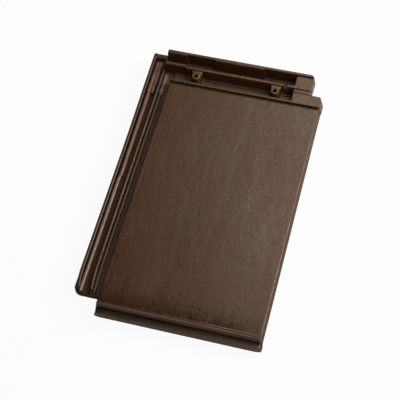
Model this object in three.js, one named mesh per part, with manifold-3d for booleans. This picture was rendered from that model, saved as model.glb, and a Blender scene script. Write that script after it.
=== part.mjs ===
// Flat interlocking roof tile of pressed and fired clay, one solid, in millimetres.
//
// X runs across the roof, from the side lock (low X) to the cover flange (high X).
// Y runs up the roof, from the nose (low Y) to the head (high Y).
// While it is built, the lock-side edge of the plate is X 0, the crest of the nose bead is Y 0
// and the face of the plate is height 0. At the end the tile is set down on its hanging nibs
// and hook ribs, with the middle of its base at the origin.
import * as THREE from "three";
import { mergeVertices } from "three/addons/utils/BufferGeometryUtils.js";
import Module from "manifold-3d";

const wasm = await Module();
wasm.setup();

// ---- Plate: the weathered face ----
const PLATE_WIDTH = 248;
const PLATE_LENGTH = 406; // nose bead to head step
const PLATE_THICKNESS = 13.5;
const FACE_EDGE = 2.5; // rounding of the face at the cover joint
const LOCK_SIDE_EDGE = 1.3; // and at the side lock

// ---- Nose: the hanging front edge ----
const BEAD_RISE = 1.5; // the face sweeps up to a bead along its front edge
const BEAD_BACK = 4; // the bead's top reaches this far behind its crest
const BEAD_EDGE = 2.8; // crest of the bead to the steep face in front of it
const BEAD_ROUND = 3.3;
const BEAD_DROP = 13; // height and run of the steep face
const BEAD_RUN = 2.4;
const SWEEP_ROUND = 2.5; // rounding at both ends of the sweep
const LIP_DROP = 4.5; // sloping lip below it
const LIP_RUN = 7.9;
const LIP_EDGE = 1.2;
const NOSE_DEPTH = 25; // face of the plate to the lower edge of the nose
const NOSE_WALL = 10; // thickness of the hanging wall, front to back
const NOSE_FLARE = 3.5; // how far the nose spreads at its foot, on the lock side
const NOSE_TAPER = 2; // the front edge draws back this far at both ends
const NOSE_TAPER_LENGTH = 10;
const NOSE_TAPER_ROUND = 4;
const NOSE_INSET = 1; // the bead's ends stand in from the plate's sides

// ---- Side lock: base, and four water bars with the grooves between them ----
const OUTER_BAR = 6.1;
const DRIP_GROOVE = 2.5;
const BROAD_BAR = 6;
const WATER_GROOVE = 7.6;
const THIRD_BAR = 4;
const INNER_GROOVE = 2.6;
const FOURTH_BAR = 4;
const WALL_GROOVE = 10.2;
const BAR_TOP = -8;
const GROOVE_FLOOR = -15.5;
const BATTEN_PLANE = -22; // underside of the lock and of the head, where the batten touches
const BAR_SLOPE = 1; // spread of each bar at its root
const BAR_EDGE = 1.5;
const OUTER_EDGE = 4; // wide rounding of the outer bar, away from the grooves
const BAR_SETBACK = 1; // the bars start this far behind the lock's front
const BAR_LEAN = 0.3; // a bar's front end leans back this far for each millimetre of height
const LONG_LEAN = 1; // the same, at the outer bar and the third bar
const OUTER_BEND = 5; // sideways bend of a bar's foot, and the length that it bends over
const OUTER_BEND_LENGTH = 34;
const THIRD_BEND = 4.2;
const THIRD_BEND_LENGTH = 42;
const FOURTH_BEND = 1.9;
const FOURTH_BEND_LENGTH = 60;
const BEND_POWER = 1.5; // how much a bend tightens towards the foot
const BROAD_JOG = 1.4; // the broad bar steps sideways half-way up, and draws back from there
const BROAD_JOG_AT = 221;
const LOCK_FLARE = 1.6; // the lock spreads this far towards the head
const LOCK_FLARE_AT = 280;
const KEY_AT = 385; // from here up, the broad bar and the fourth bar stand wider on a ledge
const KEY_RIDGE = 3.6;
const KEY_SLOPE = 0.5; // ridge to ledge
const LEDGE_DROP = 1.2;
const BROAD_LEDGE = 10.8; // widths of the two keys, ridge and ledge together
const FOURTH_LEDGE = 6.6;
const BROAD_KEY_SHIFT = 0.8; // each key starts this far outside its bar
const FOURTH_KEY_SHIFT = 1.1;
const FOURTH_BAR_STOP = 7; // the fourth bar stops this far in front of the middle rib
const LOCK_FOOT = 13; // the lock starts this far behind the bead
const LOCK_CORNER = 12; // plan radius of its outer front corner
const LOCK_REAR_CORNER = 4;
const LOCK_RIM = 8.7; // cross bar that closes the lock at the head
const RIM_SLOPE = 1; // spread of the cross bar at its root
const RIM_GAP = 7.1;
const LOCK_WEB = 10; // width of the wall that carries the lock, under the plate

// ---- Cover flange: rides over the neighbour's side lock ----
const JOINT_GAP = 6; // face to face of two neighbours
const FLANGE_UNDERSIDE = -7.5;
const FLANGE_RIB_DEPTH = -14;
const FLANGE_DRAFT = 2.6; // spread of the outer wall from face to foot
const FLANGE_RIB = 4.2; // thickness of the outer flange rib at its foot
const FLANGE_RIB_SLOPE = 1; // spread of the flange ribs at their roots
const LOCK_CLEARANCE = 4; // neighbour's lock to the wall beside it, under the landing
const SIDE_PLAY = 1.2; // beside a flange rib in its groove
const RIB_STOP = 4; // the inner flange rib stops this far in front of the keys

// ---- Head: steps, channels and ribs ----
const STEP_RISE = 5; // front rib and shoulder above the face
const STEP_SLOPE = 1; // the head step leans back this far
const RIB_RISE = 7; // middle rib and landing
const REAR_RISE = 10; // rear rib
const FRONT_RIB = 5.5;
const FRONT_CHANNEL = 23;
const MIDDLE_RIB = 5.5;
const REAR_CHANNEL = 18;
const REAR_RIB = 6.5;
const CHANNEL_FLOOR = -10.5;
const WALL_DRAFT = 1.5; // channel walls facing the head
const WEIR_DRAFT = 3.3; // channel walls facing the nose
const HEAD_OVERHANG = 18; // the head reaches this far over the lock
const HEAD_END_SLOPE = 0.5; // lean and rounding of the head's end over the lock
const HEAD_END_ROUND = 2.5;
const HEAD_CORNER = 6; // plan radius of the head's other rear corner
const SETBACK = 2.5; // the middle rib stands further back beside the lock
const SETBACK_WIDTH = 19;
const PAD = 1.5; // the rear rib is thickened in two places, at its top and at its foot
const PAD_FOOT = 3.5;
const PAD_SPREAD = 3.5; // slope of each pad's end
const FIRST_PAD = 14.5; // right end of the pad beside the lock
const SECOND_PAD = 63.5; // the pad in the middle, and its width
const SECOND_PAD_WIDTH = 82;
const NOTCH = 5.8; // gap in the middle rib with a thin fin in it
const NOTCH_FROM_LANDING = 16.3;
const NOTCH_DEPTH = 9;
const FIN = 2;
const FIN_DROP = 4;
const LANDING_WIDTH = 48; // closed ground between the channels and the cover edge
const LANDING_DRAFT = 2.5; // slope of its wall towards the channels
const LANDING_STEP = 1.5; // slope of the step between its two levels
const SHOULDER_WIDTH = 20; // cut out of the head for the neighbour's head
const SHOULDER_LENGTH = 21.8; // shoulder beyond the head step
const SHOULDER_FLARE = 1; // its foot stands out beyond the flange
const SHOULDER_CORNER = 6;
const SHOULDER_SLOPE = 0.5; // its rear wall leans forward this far
const RIB_EDGE = 1.3; // rounding of ribs and steps
const FLOOR_FILLET = 2.5;
const BLOCK_SLOPE = 4; // front of the solid block under the head

// ---- Nail bosses in the front channel ----
const BOSS_RADIUS = 7;
const BOSS_ROOT = 19; // width where it meets the middle rib
const BOSS_STRAIGHT = 2; // its sides run straight this far behind the hole
const BOSS_TOP = 5;
const NAIL_HOLE = 6.4;
const NAIL_SETBACK = 10.7; // hole centre in front of the middle rib
const BOSS_FROM_EDGE = 39.2; // first boss from the lock-side edge of the plate
const BOSS_FROM_LANDING = 29.2; // second boss from the landing
const CURB = 2.6; // low curb across the channel, beside each boss
const CURB_RISE = 3;
const CURB_SLOPE = 0.5;
const CURB_FROM_HOLE = 9.2;

// ---- Underside ----
const NIB_WIDTH = 34;
const NIB_DEPTH = 11; // below the batten plane
const NIB_THICKNESS = 13;
const NIB_SLOPE = 4; // slope of its rear face
const NIB_INSET = 26; // each nib from its side of the channel block
const NIB_FROM_REAR = 22; // batten face of the nibs from the rear of the head
const HEAD_PLAY = 1; // nose wall of the next tile up to the head step
const HOOK_PLAY = 3; // hook rib to the walls, bosses and curbs of the channel it hangs in
const STIFFENER_WIDTH = 10;
const STIFFENER_DEPTH = 4;
const STIFFENERS = 3;
const UNDER_SLOPE = 2; // spread of webs and ribs where they meet the underside
const UNDER_FILLET = 2;
const FOOT_EDGE = 1.5; // rounding of ribs and nibs that touch what carries the tile
const SMALL_EDGE = 1;

// ---- Construction ----
const OVERLAP = 1; // solids reach this far into each other, and cutters past what they cut
const CLEAR = 0.1; // a cutter keeps this far off a face that it leaves as it is
const CURVE_SEGMENTS = 4; // straight pieces in each rounded corner
const CIRCLE_SEGMENTS = 12; // and in each hole and round end
const QUARTERS = [0, 0.25, 0.5, 0.75, 1]; // shares of a bend's length at which it has a station

// ---- Places worked out from the sizes ----
const outerBar = -(OUTER_BAR + DRIP_GROOVE + BROAD_BAR + WATER_GROOVE + THIRD_BAR + INNER_GROOVE
  + FOURTH_BAR + WALL_GROOVE);
const broadBar = outerBar + OUTER_BAR + DRIP_GROOVE;
const waterGroove = broadBar + BROAD_BAR;
const thirdBar = waterGroove + WATER_GROOVE;
const fourthBar = thirdBar + THIRD_BAR + INNER_GROOVE;
const frontRibEnd = PLATE_LENGTH + FRONT_RIB;
const middleRib = frontRibEnd + FRONT_CHANNEL;
const middleRibEnd = middleRib + MIDDLE_RIB;
const rearRib = middleRibEnd + REAR_CHANNEL; // front of the pads on the rear rib
const recess = rearRib + PAD; // front of the rear rib between the pads
const headEnd = rearRib + REAR_RIB;
const shoulderEnd = PLATE_LENGTH + SHOULDER_LENGTH;
const channelEnd = PLATE_WIDTH - LANDING_WIDTH;
const headSide = PLATE_WIDTH - SHOULDER_WIDTH;
const noseFront = -(BEAD_EDGE + BEAD_RUN + LIP_RUN);
const noseBack = noseFront + NOSE_WALL;
const coverWidth = PLATE_WIDTH + JOINT_GAP; // from one tile to its neighbour across the roof
const gauge = PLATE_LENGTH - HEAD_PLAY - noseBack; // from one tile to the next up the roof
const neighbourLock = coverWidth + outerBar - LOCK_FLARE;
const flangeWall = neighbourLock - LOCK_CLEARANCE; // inner wall of the hollow under the flange
const padFoot = recess - WEIR_DRAFT - PAD_FOOT;
const standing = BATTEN_PLANE - NIB_DEPTH; // height of the floor that the tile lies on
const nailX = [BOSS_FROM_EDGE, channelEnd - BOSS_FROM_LANDING];
const nailY = middleRib - NAIL_SETBACK;
const stepFace = [
  [PLATE_LENGTH - STEP_SLOPE * OVERLAP / STEP_RISE, -OVERLAP],
  [PLATE_LENGTH + STEP_SLOPE, STEP_RISE, RIB_EDGE],
];

// ---- Shapes and solids ----

// A closed outline through corners [x, y, round]. A round starts "round" before its corner and
// ends "round" after it, or just short of half-way along a side that is too short for that.
function outline(corners) {
  const shape = new THREE.Shape();
  const at = corners.map(([x, y]) => new THREE.Vector2(x, y));
  corners.forEach(([, , round = 0], i) => {
    const corner = at[i];
    const beside = [at.at(i - 1), at[(i + 1) % at.length]];
    const [start, end] = beside.map((other) => {
      const side = other.clone().sub(corner);
      return side.setLength(Math.min(round, side.length() * 0.49)).add(corner);
    });
    if (i === 0) shape.moveTo(start.x, start.y);
    else shape.lineTo(start.x, start.y);
    if (round) shape.quadraticCurveTo(corner.x, corner.y, end.x, end.y);
  });
  return shape;
}

// A three.js geometry as a solid that can be joined and cut. Its vertices are put on a fine
// grid, so that faces which are meant to lie in one plane do so exactly.
const GRID = 1 / 1024;
function solid(geometry) {
  geometry.deleteAttribute("normal");
  geometry.deleteAttribute("uv");
  const merged = mergeVertices(geometry, GRID / 4);
  return new wasm.Manifold(new wasm.Mesh({
    numProp: 3,
    vertProperties: merged.attributes.position.array.map((v) => Math.round(v / GRID) * GRID),
    triVerts: new Uint32Array(merged.index.array),
  }));
}

function extruded(corners, depth, options = {}) {
  const shape = corners instanceof THREE.Shape ? corners : outline(corners);
  return new THREE.ExtrudeGeometry(shape, {
    depth,
    bevelEnabled: false,
    curveSegments: CURVE_SEGMENTS,
    ...options,
  });
}

// A section drawn in X and height, carried along Y.
const alongY = (corners, y0, y1) =>
  solid(extruded(corners, y1 - y0).rotateX(Math.PI / 2).translate(0, y1, 0));

// A profile drawn in Y and height, carried along X.
const alongX = (corners, x0, x1) =>
  solid(extruded(corners, x1 - x0).rotateX(Math.PI / 2).rotateZ(Math.PI / 2).translate(x0, 0, 0));

// A plan outline drawn in X and Y, carried up.
const upwards = (corners, z0, z1, options) =>
  solid(extruded(corners, z1 - z0, options).translate(0, 0, z0));

const join = (...solids) => solids.reduce((all, next) => all.add(next));
const cut = (body, ...tools) => tools.reduce((left, tool) => left.subtract(tool), body);

// A plain box between two corners, for cutters that only clear space.
function block([x0, y0, z0], [x1, y1, z1]) {
  const box = new THREE.BoxGeometry(x1 - x0, y1 - y0, z1 - z0);
  return solid(box.translate((x0 + x1) / 2, (y0 + y1) / 2, (z0 + z1) / 2));
}

// ---- The tile's regions ----

// Plate and the wall that carries the lock, one section along Y.
function plate() {
  return alongY([
    [flangeWall - OVERLAP, 0],
    [0, 0, LOCK_SIDE_EDGE],
    [-BAR_SLOPE, GROOVE_FLOOR],
    [-BAR_SLOPE, BATTEN_PLANE],
    [LOCK_WEB, BATTEN_PLANE, SMALL_EDGE],
    [LOCK_WEB + UNDER_SLOPE, -PLATE_THICKNESS, UNDER_FILLET],
    [flangeWall - OVERLAP, -PLATE_THICKNESS],
  ], LOCK_FOOT, PLATE_LENGTH + 2 * OVERLAP);
}

// Section of the cover flange, with its face at a given height and its outer wall spread at the
// foot. The outer rib hangs in the neighbour's wall groove.
function flangeSection(face, spread) {
  const foot = PLATE_WIDTH + spread;
  const rib = PLATE_WIDTH + FLANGE_DRAFT - FLANGE_RIB;
  return [
    [PLATE_WIDTH, face, FACE_EDGE],
    [flangeWall - 2 * OVERLAP, face],
    [flangeWall - 2 * OVERLAP, -PLATE_THICKNESS],
    [flangeWall, -PLATE_THICKNESS, UNDER_FILLET],
    [flangeWall + UNDER_SLOPE, FLANGE_UNDERSIDE, UNDER_FILLET],
    [rib - FLANGE_RIB_SLOPE, FLANGE_UNDERSIDE, SMALL_EDGE],
    [rib, FLANGE_RIB_DEPTH, SMALL_EDGE],
    [foot, FLANGE_RIB_DEPTH, SMALL_EDGE],
  ];
}

// Cover flange, with an inner rib that hangs in the neighbour's water groove.
function flange() {
  const from = coverWidth + waterGroove + BROAD_JOG + SIDE_PLAY;
  const to = coverWidth + thirdBar - SIDE_PLAY;
  const innerRib = alongY([
    [from - FLANGE_RIB_SLOPE, FLANGE_UNDERSIDE + OVERLAP],
    [from, FLANGE_RIB_DEPTH, SMALL_EDGE],
    [to, FLANGE_RIB_DEPTH, SMALL_EDGE],
    [to + FLANGE_RIB_SLOPE, FLANGE_UNDERSIDE + OVERLAP],
  ], LOCK_FOOT - OVERLAP, KEY_AT - RIB_STOP);
  const section = flangeSection(0, FLANGE_DRAFT);
  return join(alongY(section, LOCK_FOOT, PLATE_LENGTH + 2 * OVERLAP), innerRib);
}

// Shoulder: raised ground beyond the head step, over the end of the cover flange. Its outer
// corner is round.
function shoulder() {
  const profile = [
    [PLATE_LENGTH, FLANGE_RIB_DEPTH - OVERLAP],
    ...stepFace,
    [shoulderEnd - SHOULDER_SLOPE, STEP_RISE, RIB_EDGE],
    [shoulderEnd, FLANGE_RIB_DEPTH - OVERLAP],
  ];
  const side = PLATE_WIDTH + FLANGE_DRAFT + SHOULDER_FLARE;
  const plan = [
    [channelEnd, PLATE_LENGTH - OVERLAP],
    [side, PLATE_LENGTH - OVERLAP],
    [side, shoulderEnd, SHOULDER_CORNER],
    [channelEnd, shoulderEnd],
  ];
  const section = flangeSection(STEP_RISE, FLANGE_DRAFT + SHOULDER_FLARE);
  return alongY(section, PLATE_LENGTH - OVERLAP, shoulderEnd)
    .intersect(alongX(profile.reverse(), channelEnd, side + OVERLAP))
    .intersect(upwards(plan, FLANGE_RIB_DEPTH - 2 * OVERLAP, STEP_RISE + OVERLAP));
}

// Nose: bead, steep face and sloping lip over a wall that hangs in front of the head step of
// the tile below. Its ends spread downwards and its front edge draws back beside them.
function nose() {
  const profile = [
    [LOCK_FOOT, 0],
    [LOCK_FOOT, -PLATE_THICKNESS],
    [noseBack, -PLATE_THICKNESS, UNDER_FILLET],
    [noseBack, -NOSE_DEPTH, SMALL_EDGE],
    [noseFront, -NOSE_DEPTH, LIP_EDGE],
    [noseFront, -BEAD_DROP - LIP_DROP, LIP_EDGE],
    [-BEAD_EDGE - BEAD_RUN, -BEAD_DROP, SMALL_EDGE],
    [-BEAD_EDGE, BEAD_RISE, BEAD_ROUND],
    [BEAD_BACK, BEAD_RISE, SWEEP_ROUND],
    [LOCK_FOOT - SWEEP_ROUND, 0, SWEEP_ROUND],
  ];
  const left = -NOSE_FLARE;
  const right = PLATE_WIDTH + FLANGE_DRAFT;
  const ends = [
    [NOSE_INSET, BEAD_RISE + OVERLAP],
    [left, -NOSE_DEPTH - OVERLAP],
    [right, -NOSE_DEPTH - OVERLAP],
    [right, FLANGE_RIB_DEPTH],
    [PLATE_WIDTH - NOSE_INSET, BEAD_RISE + OVERLAP],
  ];
  const plan = [
    [left - OVERLAP, LOCK_FOOT + OVERLAP],
    [left - OVERLAP, noseFront + NOSE_TAPER],
    [left + NOSE_TAPER_LENGTH, noseFront, NOSE_TAPER_ROUND],
    [right - NOSE_TAPER_LENGTH, noseFront, NOSE_TAPER_ROUND],
    [right + OVERLAP, noseFront + NOSE_TAPER],
    [right + OVERLAP, LOCK_FOOT + OVERLAP],
  ];
  const web = alongY([
    [LOCK_WEB, -OVERLAP],
    [0, -OVERLAP],
    [left, BATTEN_PLANE],
    [LOCK_WEB, BATTEN_PLANE, SMALL_EDGE],
  ], noseBack - OVERLAP, LOCK_FOOT + OVERLAP);
  return join(alongX(profile.reverse(), left, right), web)
    .intersect(alongY(ends, noseFront - OVERLAP, LOCK_FOOT + OVERLAP))
    .intersect(upwards(plan, -NOSE_DEPTH - OVERLAP, BEAD_RISE + 2 * OVERLAP));
}

// Sideways bend of a bar near its foot.
const footBend = (amount, length) => (y) => (
  amount * Math.max(0, 1 - (y - LOCK_FOOT) / length) ** BEND_POWER
);

// The lock spreads towards the head.
const flare = (y) => -LOCK_FLARE * THREE.MathUtils.smoothstep(y, LOCK_FLARE_AT, headEnd);

// A bar of the side lock: a section in X and height, carried through stations along Y and moved
// sideways at each by drift(y). Its front end leans back.
function waterBar(corners, stations, drift = () => 0, lean = 0) {
  const last = stations.length - 1;
  const geometry = extruded(corners, last, { steps: last }).rotateX(Math.PI / 2);
  const { position } = geometry.attributes;
  for (let i = 0; i < position.count; i += 1) {
    const station = last + Math.round(position.getY(i));
    const y = stations[station];
    const leaning = station === 0 ? lean * (position.getZ(i) - GROOVE_FLOOR) : 0;
    position.setX(i, position.getX(i) + drift(y));
    position.setY(i, y + leaning);
  }
  return solid(geometry);
}

// Section of a bar with sloping sides and rounded edges.
const barSection = (x, width, outerEdge = BAR_EDGE) => [
  [x - BAR_SLOPE, GROOVE_FLOOR - OVERLAP],
  [x + width + BAR_SLOPE, GROOVE_FLOOR - OVERLAP],
  [x + width, BAR_TOP, BAR_EDGE],
  [x, BAR_TOP, outerEdge],
];

// Section of a key: a ridge with a lower ledge on the plate's side of it.
const keySection = (x, width) => [
  [x - BAR_SLOPE, GROOVE_FLOOR - OVERLAP],
  [x + width + BAR_SLOPE, GROOVE_FLOOR - OVERLAP],
  [x + width, BAR_TOP - LEDGE_DROP, BAR_EDGE],
  [x + KEY_RIDGE + KEY_SLOPE, BAR_TOP - LEDGE_DROP],
  [x + KEY_RIDGE, BAR_TOP, BAR_EDGE],
  [x, BAR_TOP, BAR_EDGE],
];

// Stations of a bent foot, close together, up to the given end.
const footStations = (length, ...ends) => (
  QUARTERS.map((share) => LOCK_FOOT + BAR_SETBACK + share * length).concat(ends)
);

// Side lock: base, bars, keys and the rim at the head, all inside one plan outline with round
// outer corners. The outer bar runs into the rim, whose outer end is rounded like the bar.
function sideLock() {
  const barEnd = headEnd - LOCK_RIM - RIM_GAP;
  const flareStations = QUARTERS.map(
    (share) => THREE.MathUtils.lerp(LOCK_FLARE_AT, headEnd, share),
  );
  const base = block([outerBar - LOCK_FLARE, LOCK_FOOT, BATTEN_PLANE], [0, headEnd, GROOVE_FLOOR]);
  const rim = alongX([
    [headEnd - LOCK_RIM - RIM_SLOPE, GROOVE_FLOOR - OVERLAP],
    [headEnd + RIM_SLOPE, GROOVE_FLOOR - OVERLAP],
    [headEnd, BAR_TOP, BAR_EDGE],
    [headEnd - LOCK_RIM, BAR_TOP, BAR_EDGE],
  ], outerBar - LOCK_FLARE, -HEAD_OVERHANG).intersect(alongY([
    [outerBar - LOCK_FLARE, GROOVE_FLOOR - 2 * OVERLAP],
    [OVERLAP - HEAD_OVERHANG, GROOVE_FLOOR - 2 * OVERLAP],
    [OVERLAP - HEAD_OVERHANG, BAR_TOP],
    [outerBar - LOCK_FLARE + BAR_SLOPE, BAR_TOP, OUTER_EDGE],
  ], headEnd - LOCK_RIM - 2 * RIM_SLOPE, headEnd + 2 * RIM_SLOPE));
  const plan = upwards([
    [outerBar, LOCK_FOOT, LOCK_CORNER],
    [0, LOCK_FOOT],
    [0, headEnd],
    [outerBar - LOCK_FLARE, headEnd, LOCK_REAR_CORNER],
    ...flareStations.slice(0, -1).reverse().map((y) => [outerBar + flare(y), y]),
  ], BATTEN_PLANE - OVERLAP, BAR_TOP + OVERLAP);
  const draw = BROAD_JOG / (KEY_AT - BROAD_JOG_AT);
  const bars = join(
    waterBar(
      barSection(outerBar + BAR_SLOPE, OUTER_BAR - BAR_SLOPE, OUTER_EDGE),
      footStations(OUTER_BEND_LENGTH, ...flareStations.slice(0, -1), headEnd - LOCK_RIM / 2),
      (y) => footBend(OUTER_BEND, OUTER_BEND_LENGTH)(y) + flare(y),
      LONG_LEAN,
    ),
    waterBar(
      barSection(broadBar, BROAD_BAR),
      [LOCK_FOOT + BAR_SETBACK, BROAD_JOG_AT],
      () => 0,
      BAR_LEAN,
    ),
    waterBar(barSection(broadBar, BROAD_BAR), [BROAD_JOG_AT, KEY_AT], (y) => draw * (KEY_AT - y)),
    waterBar(keySection(broadBar - BROAD_KEY_SHIFT, BROAD_LEDGE), [KEY_AT, barEnd]),
    waterBar(
      barSection(thirdBar, THIRD_BAR),
      footStations(THIRD_BEND_LENGTH, middleRib + SETBACK),
      footBend(THIRD_BEND, THIRD_BEND_LENGTH),
      LONG_LEAN,
    ),
    waterBar(
      barSection(fourthBar, FOURTH_BAR),
      footStations(FOURTH_BEND_LENGTH, KEY_AT),
      footBend(FOURTH_BEND, FOURTH_BEND_LENGTH),
      BAR_LEAN,
    ),
    waterBar(
      keySection(fourthBar - FOURTH_KEY_SHIFT, FOURTH_LEDGE),
      [KEY_AT, middleRib - FOURTH_BAR_STOP],
    ),
  );
  return join(base, rim, bars).intersect(plan);
}

// Head ribs and channels, one profile along X: the front rib, front channel, middle rib, rear
// channel and rear rib. Beside the lock the middle rib stands further back.
function headProfile(setback) {
  return [
    [PLATE_LENGTH + STEP_SLOPE, OVERLAP - PLATE_THICKNESS],
    ...stepFace,
    [frontRibEnd, STEP_RISE, RIB_EDGE],
    [frontRibEnd + WALL_DRAFT, CHANNEL_FLOOR, FLOOR_FILLET],
    [middleRib + setback - WEIR_DRAFT, CHANNEL_FLOOR, FLOOR_FILLET],
    ...rearProfile(setback),
    [PLATE_LENGTH + STEP_SLOPE + BLOCK_SLOPE, BATTEN_PLANE, UNDER_FILLET],
  ];
}

// The part of that profile from the middle rib to the rear.
function rearProfile(setback) {
  return [
    [middleRib + setback, RIB_RISE, RIB_EDGE],
    [middleRibEnd + setback, RIB_RISE, RIB_EDGE],
    [middleRibEnd + setback + WALL_DRAFT, CHANNEL_FLOOR, FLOOR_FILLET],
    [recess - WEIR_DRAFT, CHANNEL_FLOOR, FLOOR_FILLET],
    [recess, REAR_RISE, RIB_EDGE],
    [headEnd, REAR_RISE, RIB_EDGE],
    [headEnd + WALL_DRAFT, BATTEN_PLANE, UNDER_FILLET],
  ];
}

// Over the lock there is no front channel, and the wall in front of the middle rib goes down to
// the floor of the grooves.
function overLockProfile() {
  const weir = WEIR_DRAFT / (RIB_RISE - CHANNEL_FLOOR);
  const foot = middleRib + SETBACK - weir * (RIB_RISE - GROOVE_FLOOR + OVERLAP);
  return [
    [foot, GROOVE_FLOOR - OVERLAP],
    ...rearProfile(SETBACK),
    [foot, BATTEN_PLANE],
  ];
}

// A pad on the rear rib, thicker at its foot, with sloping ends.
function pad(x0, x1) {
  const inside = recess + 2 * OVERLAP;
  const ends = [
    [x0 - PAD_SPREAD, CHANNEL_FLOOR - OVERLAP],
    [x1 + PAD_SPREAD, CHANNEL_FLOOR - OVERLAP],
    [x1, REAR_RISE],
    [x0, REAR_RISE],
  ];
  return alongX([
    [inside, CHANNEL_FLOOR - OVERLAP],
    [inside, REAR_RISE],
    [rearRib, REAR_RISE, RIB_EDGE],
    [padFoot, CHANNEL_FLOOR - OVERLAP],
  ], x0 - PAD_SPREAD, x1 + PAD_SPREAD)
    .intersect(alongY(ends, padFoot - OVERLAP, inside + OVERLAP));
}

// Gap in the middle rib, with a thin lower fin left standing in it.
function notch() {
  const x = channelEnd - NOTCH_FROM_LANDING;
  const floor = RIB_RISE - NOTCH_DEPTH;
  const fin = x + (NOTCH - FIN) / 2;
  const across = (x0, x1, z) => block(
    [x0, middleRib - WEIR_DRAFT, z],
    [x1, middleRibEnd + WALL_DRAFT, RIB_RISE + OVERLAP],
  );
  return join(
    across(x, fin, floor),
    across(fin, fin + FIN, RIB_RISE - FIN_DROP),
    across(fin + FIN, x + NOTCH, floor),
  );
}

// Landing: closed ground between the channels and the cover edge, in two levels. Its underside
// clears the neighbour's side lock.
function landing() {
  const deep = CHANNEL_FLOOR - 2 * OVERLAP;
  const inside = flangeWall + UNDER_SLOPE;
  const outside = headSide + FLANGE_DRAFT + OVERLAP;
  return alongX([
    [PLATE_LENGTH + STEP_SLOPE + OVERLAP, deep],
    [recess + OVERLAP, deep],
    [recess + OVERLAP, RIB_RISE],
    [middleRib + LANDING_STEP, RIB_RISE, RIB_EDGE],
    [middleRib, STEP_RISE, SMALL_EDGE],
    [PLATE_LENGTH + STEP_SLOPE + OVERLAP, STEP_RISE],
  ], channelEnd - LANDING_DRAFT - OVERLAP, outside).intersect(alongY([
    [channelEnd - LANDING_DRAFT, deep],
    [inside, deep],
    [inside, FLANGE_UNDERSIDE],
    [outside, FLANGE_UNDERSIDE],
    [outside, REAR_RISE],
    [channelEnd, REAR_RISE],
  ], PLATE_LENGTH, headEnd));
}

// Plan of the head with a round rear corner over the neighbour. It widens downwards as the two
// walls do that meet there.
function headPlan() {
  const front = PLATE_LENGTH - 2 * OVERLAP;
  const left = -2 * HEAD_OVERHANG;
  const height = REAR_RISE - BATTEN_PLANE + OVERLAP;
  const shear = new THREE.Matrix4().makeShear(
    0,
    0,
    0,
    0,
    -FLANGE_DRAFT / (REAR_RISE - FLANGE_UNDERSIDE),
    -WALL_DRAFT / (REAR_RISE - BATTEN_PLANE),
  );
  const plan = extruded([
    [left, front],
    [headSide + CLEAR, front],
    [headSide + CLEAR, headEnd + CLEAR, HEAD_CORNER],
    [left, headEnd + CLEAR],
  ], height + OVERLAP);
  return solid(plan.translate(0, 0, -height).applyMatrix4(shear).translate(0, 0, REAR_RISE));
}

function head() {
  const section = [
    [-HEAD_OVERHANG, BATTEN_PLANE - OVERLAP],
    [flangeWall, BATTEN_PLANE - OVERLAP],
    [flangeWall, -PLATE_THICKNESS],
    [flangeWall + UNDER_SLOPE, FLANGE_UNDERSIDE, UNDER_FILLET],
    [headSide + FLANGE_DRAFT, FLANGE_UNDERSIDE, SMALL_EDGE],
    [headSide, REAR_RISE, RIB_EDGE],
    [-HEAD_OVERHANG + HEAD_END_SLOPE, REAR_RISE, HEAD_END_ROUND],
  ];
  const ribs = join(
    alongX(overLockProfile().reverse(), -HEAD_OVERHANG - OVERLAP, 0),
    alongX(headProfile(SETBACK).reverse(), 0, SETBACK_WIDTH),
    alongX(headProfile(0).reverse(), SETBACK_WIDTH, PLATE_WIDTH),
    pad(-HEAD_OVERHANG - OVERLAP, FIRST_PAD),
    pad(SECOND_PAD, SECOND_PAD + SECOND_PAD_WIDTH),
  );
  return join(cut(ribs, notch()), landing())
    .intersect(alongY(section, PLATE_LENGTH - OVERLAP, headEnd + WALL_DRAFT + OVERLAP))
    .intersect(headPlan());
}

// Nail boss: a tongue with a round end that grows from the middle rib.
function boss(x) {
  const shape = new THREE.Shape();
  shape.moveTo(x - BOSS_ROOT / 2, middleRib + OVERLAP);
  shape.lineTo(x - BOSS_RADIUS, nailY + BOSS_STRAIGHT);
  shape.absarc(x, nailY, BOSS_RADIUS, Math.PI, 2 * Math.PI, false);
  shape.lineTo(x + BOSS_RADIUS, nailY + BOSS_STRAIGHT);
  shape.lineTo(x + BOSS_ROOT / 2, middleRib + OVERLAP);
  return upwards(shape, CHANNEL_FLOOR - OVERLAP, BOSS_TOP, { curveSegments: CIRCLE_SEGMENTS });
}

function nailHole(x) {
  const hole = new THREE.Shape().absarc(x, nailY, NAIL_HOLE / 2, 0, 2 * Math.PI, false);
  const options = { curveSegments: CIRCLE_SEGMENTS };
  return upwards(hole, BATTEN_PLANE - OVERLAP, BOSS_TOP + OVERLAP, options);
}

// Low curb across the front channel, beside a boss.
function curb(x) {
  const x0 = x + CURB_FROM_HOLE;
  return alongY([
    [x0 - CURB_SLOPE, CHANNEL_FLOOR - OVERLAP],
    [x0 + CURB + CURB_SLOPE, CHANNEL_FLOOR - OVERLAP],
    [x0 + CURB, CHANNEL_FLOOR + CURB_RISE, SMALL_EDGE],
    [x0, CHANNEL_FLOOR + CURB_RISE, SMALL_EDGE],
  ], frontRibEnd, middleRib);
}

// Hanging nibs, with a flat face towards the batten.
function nib(x) {
  const front = headEnd - NIB_FROM_REAR;
  return alongX([
    [front, BATTEN_PLANE + OVERLAP],
    [front, standing, SMALL_EDGE],
    [front + NIB_THICKNESS - NIB_SLOPE, standing, FOOT_EDGE],
    [front + NIB_THICKNESS, BATTEN_PLANE + OVERLAP],
  ], x, x + NIB_WIDTH);
}

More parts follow.
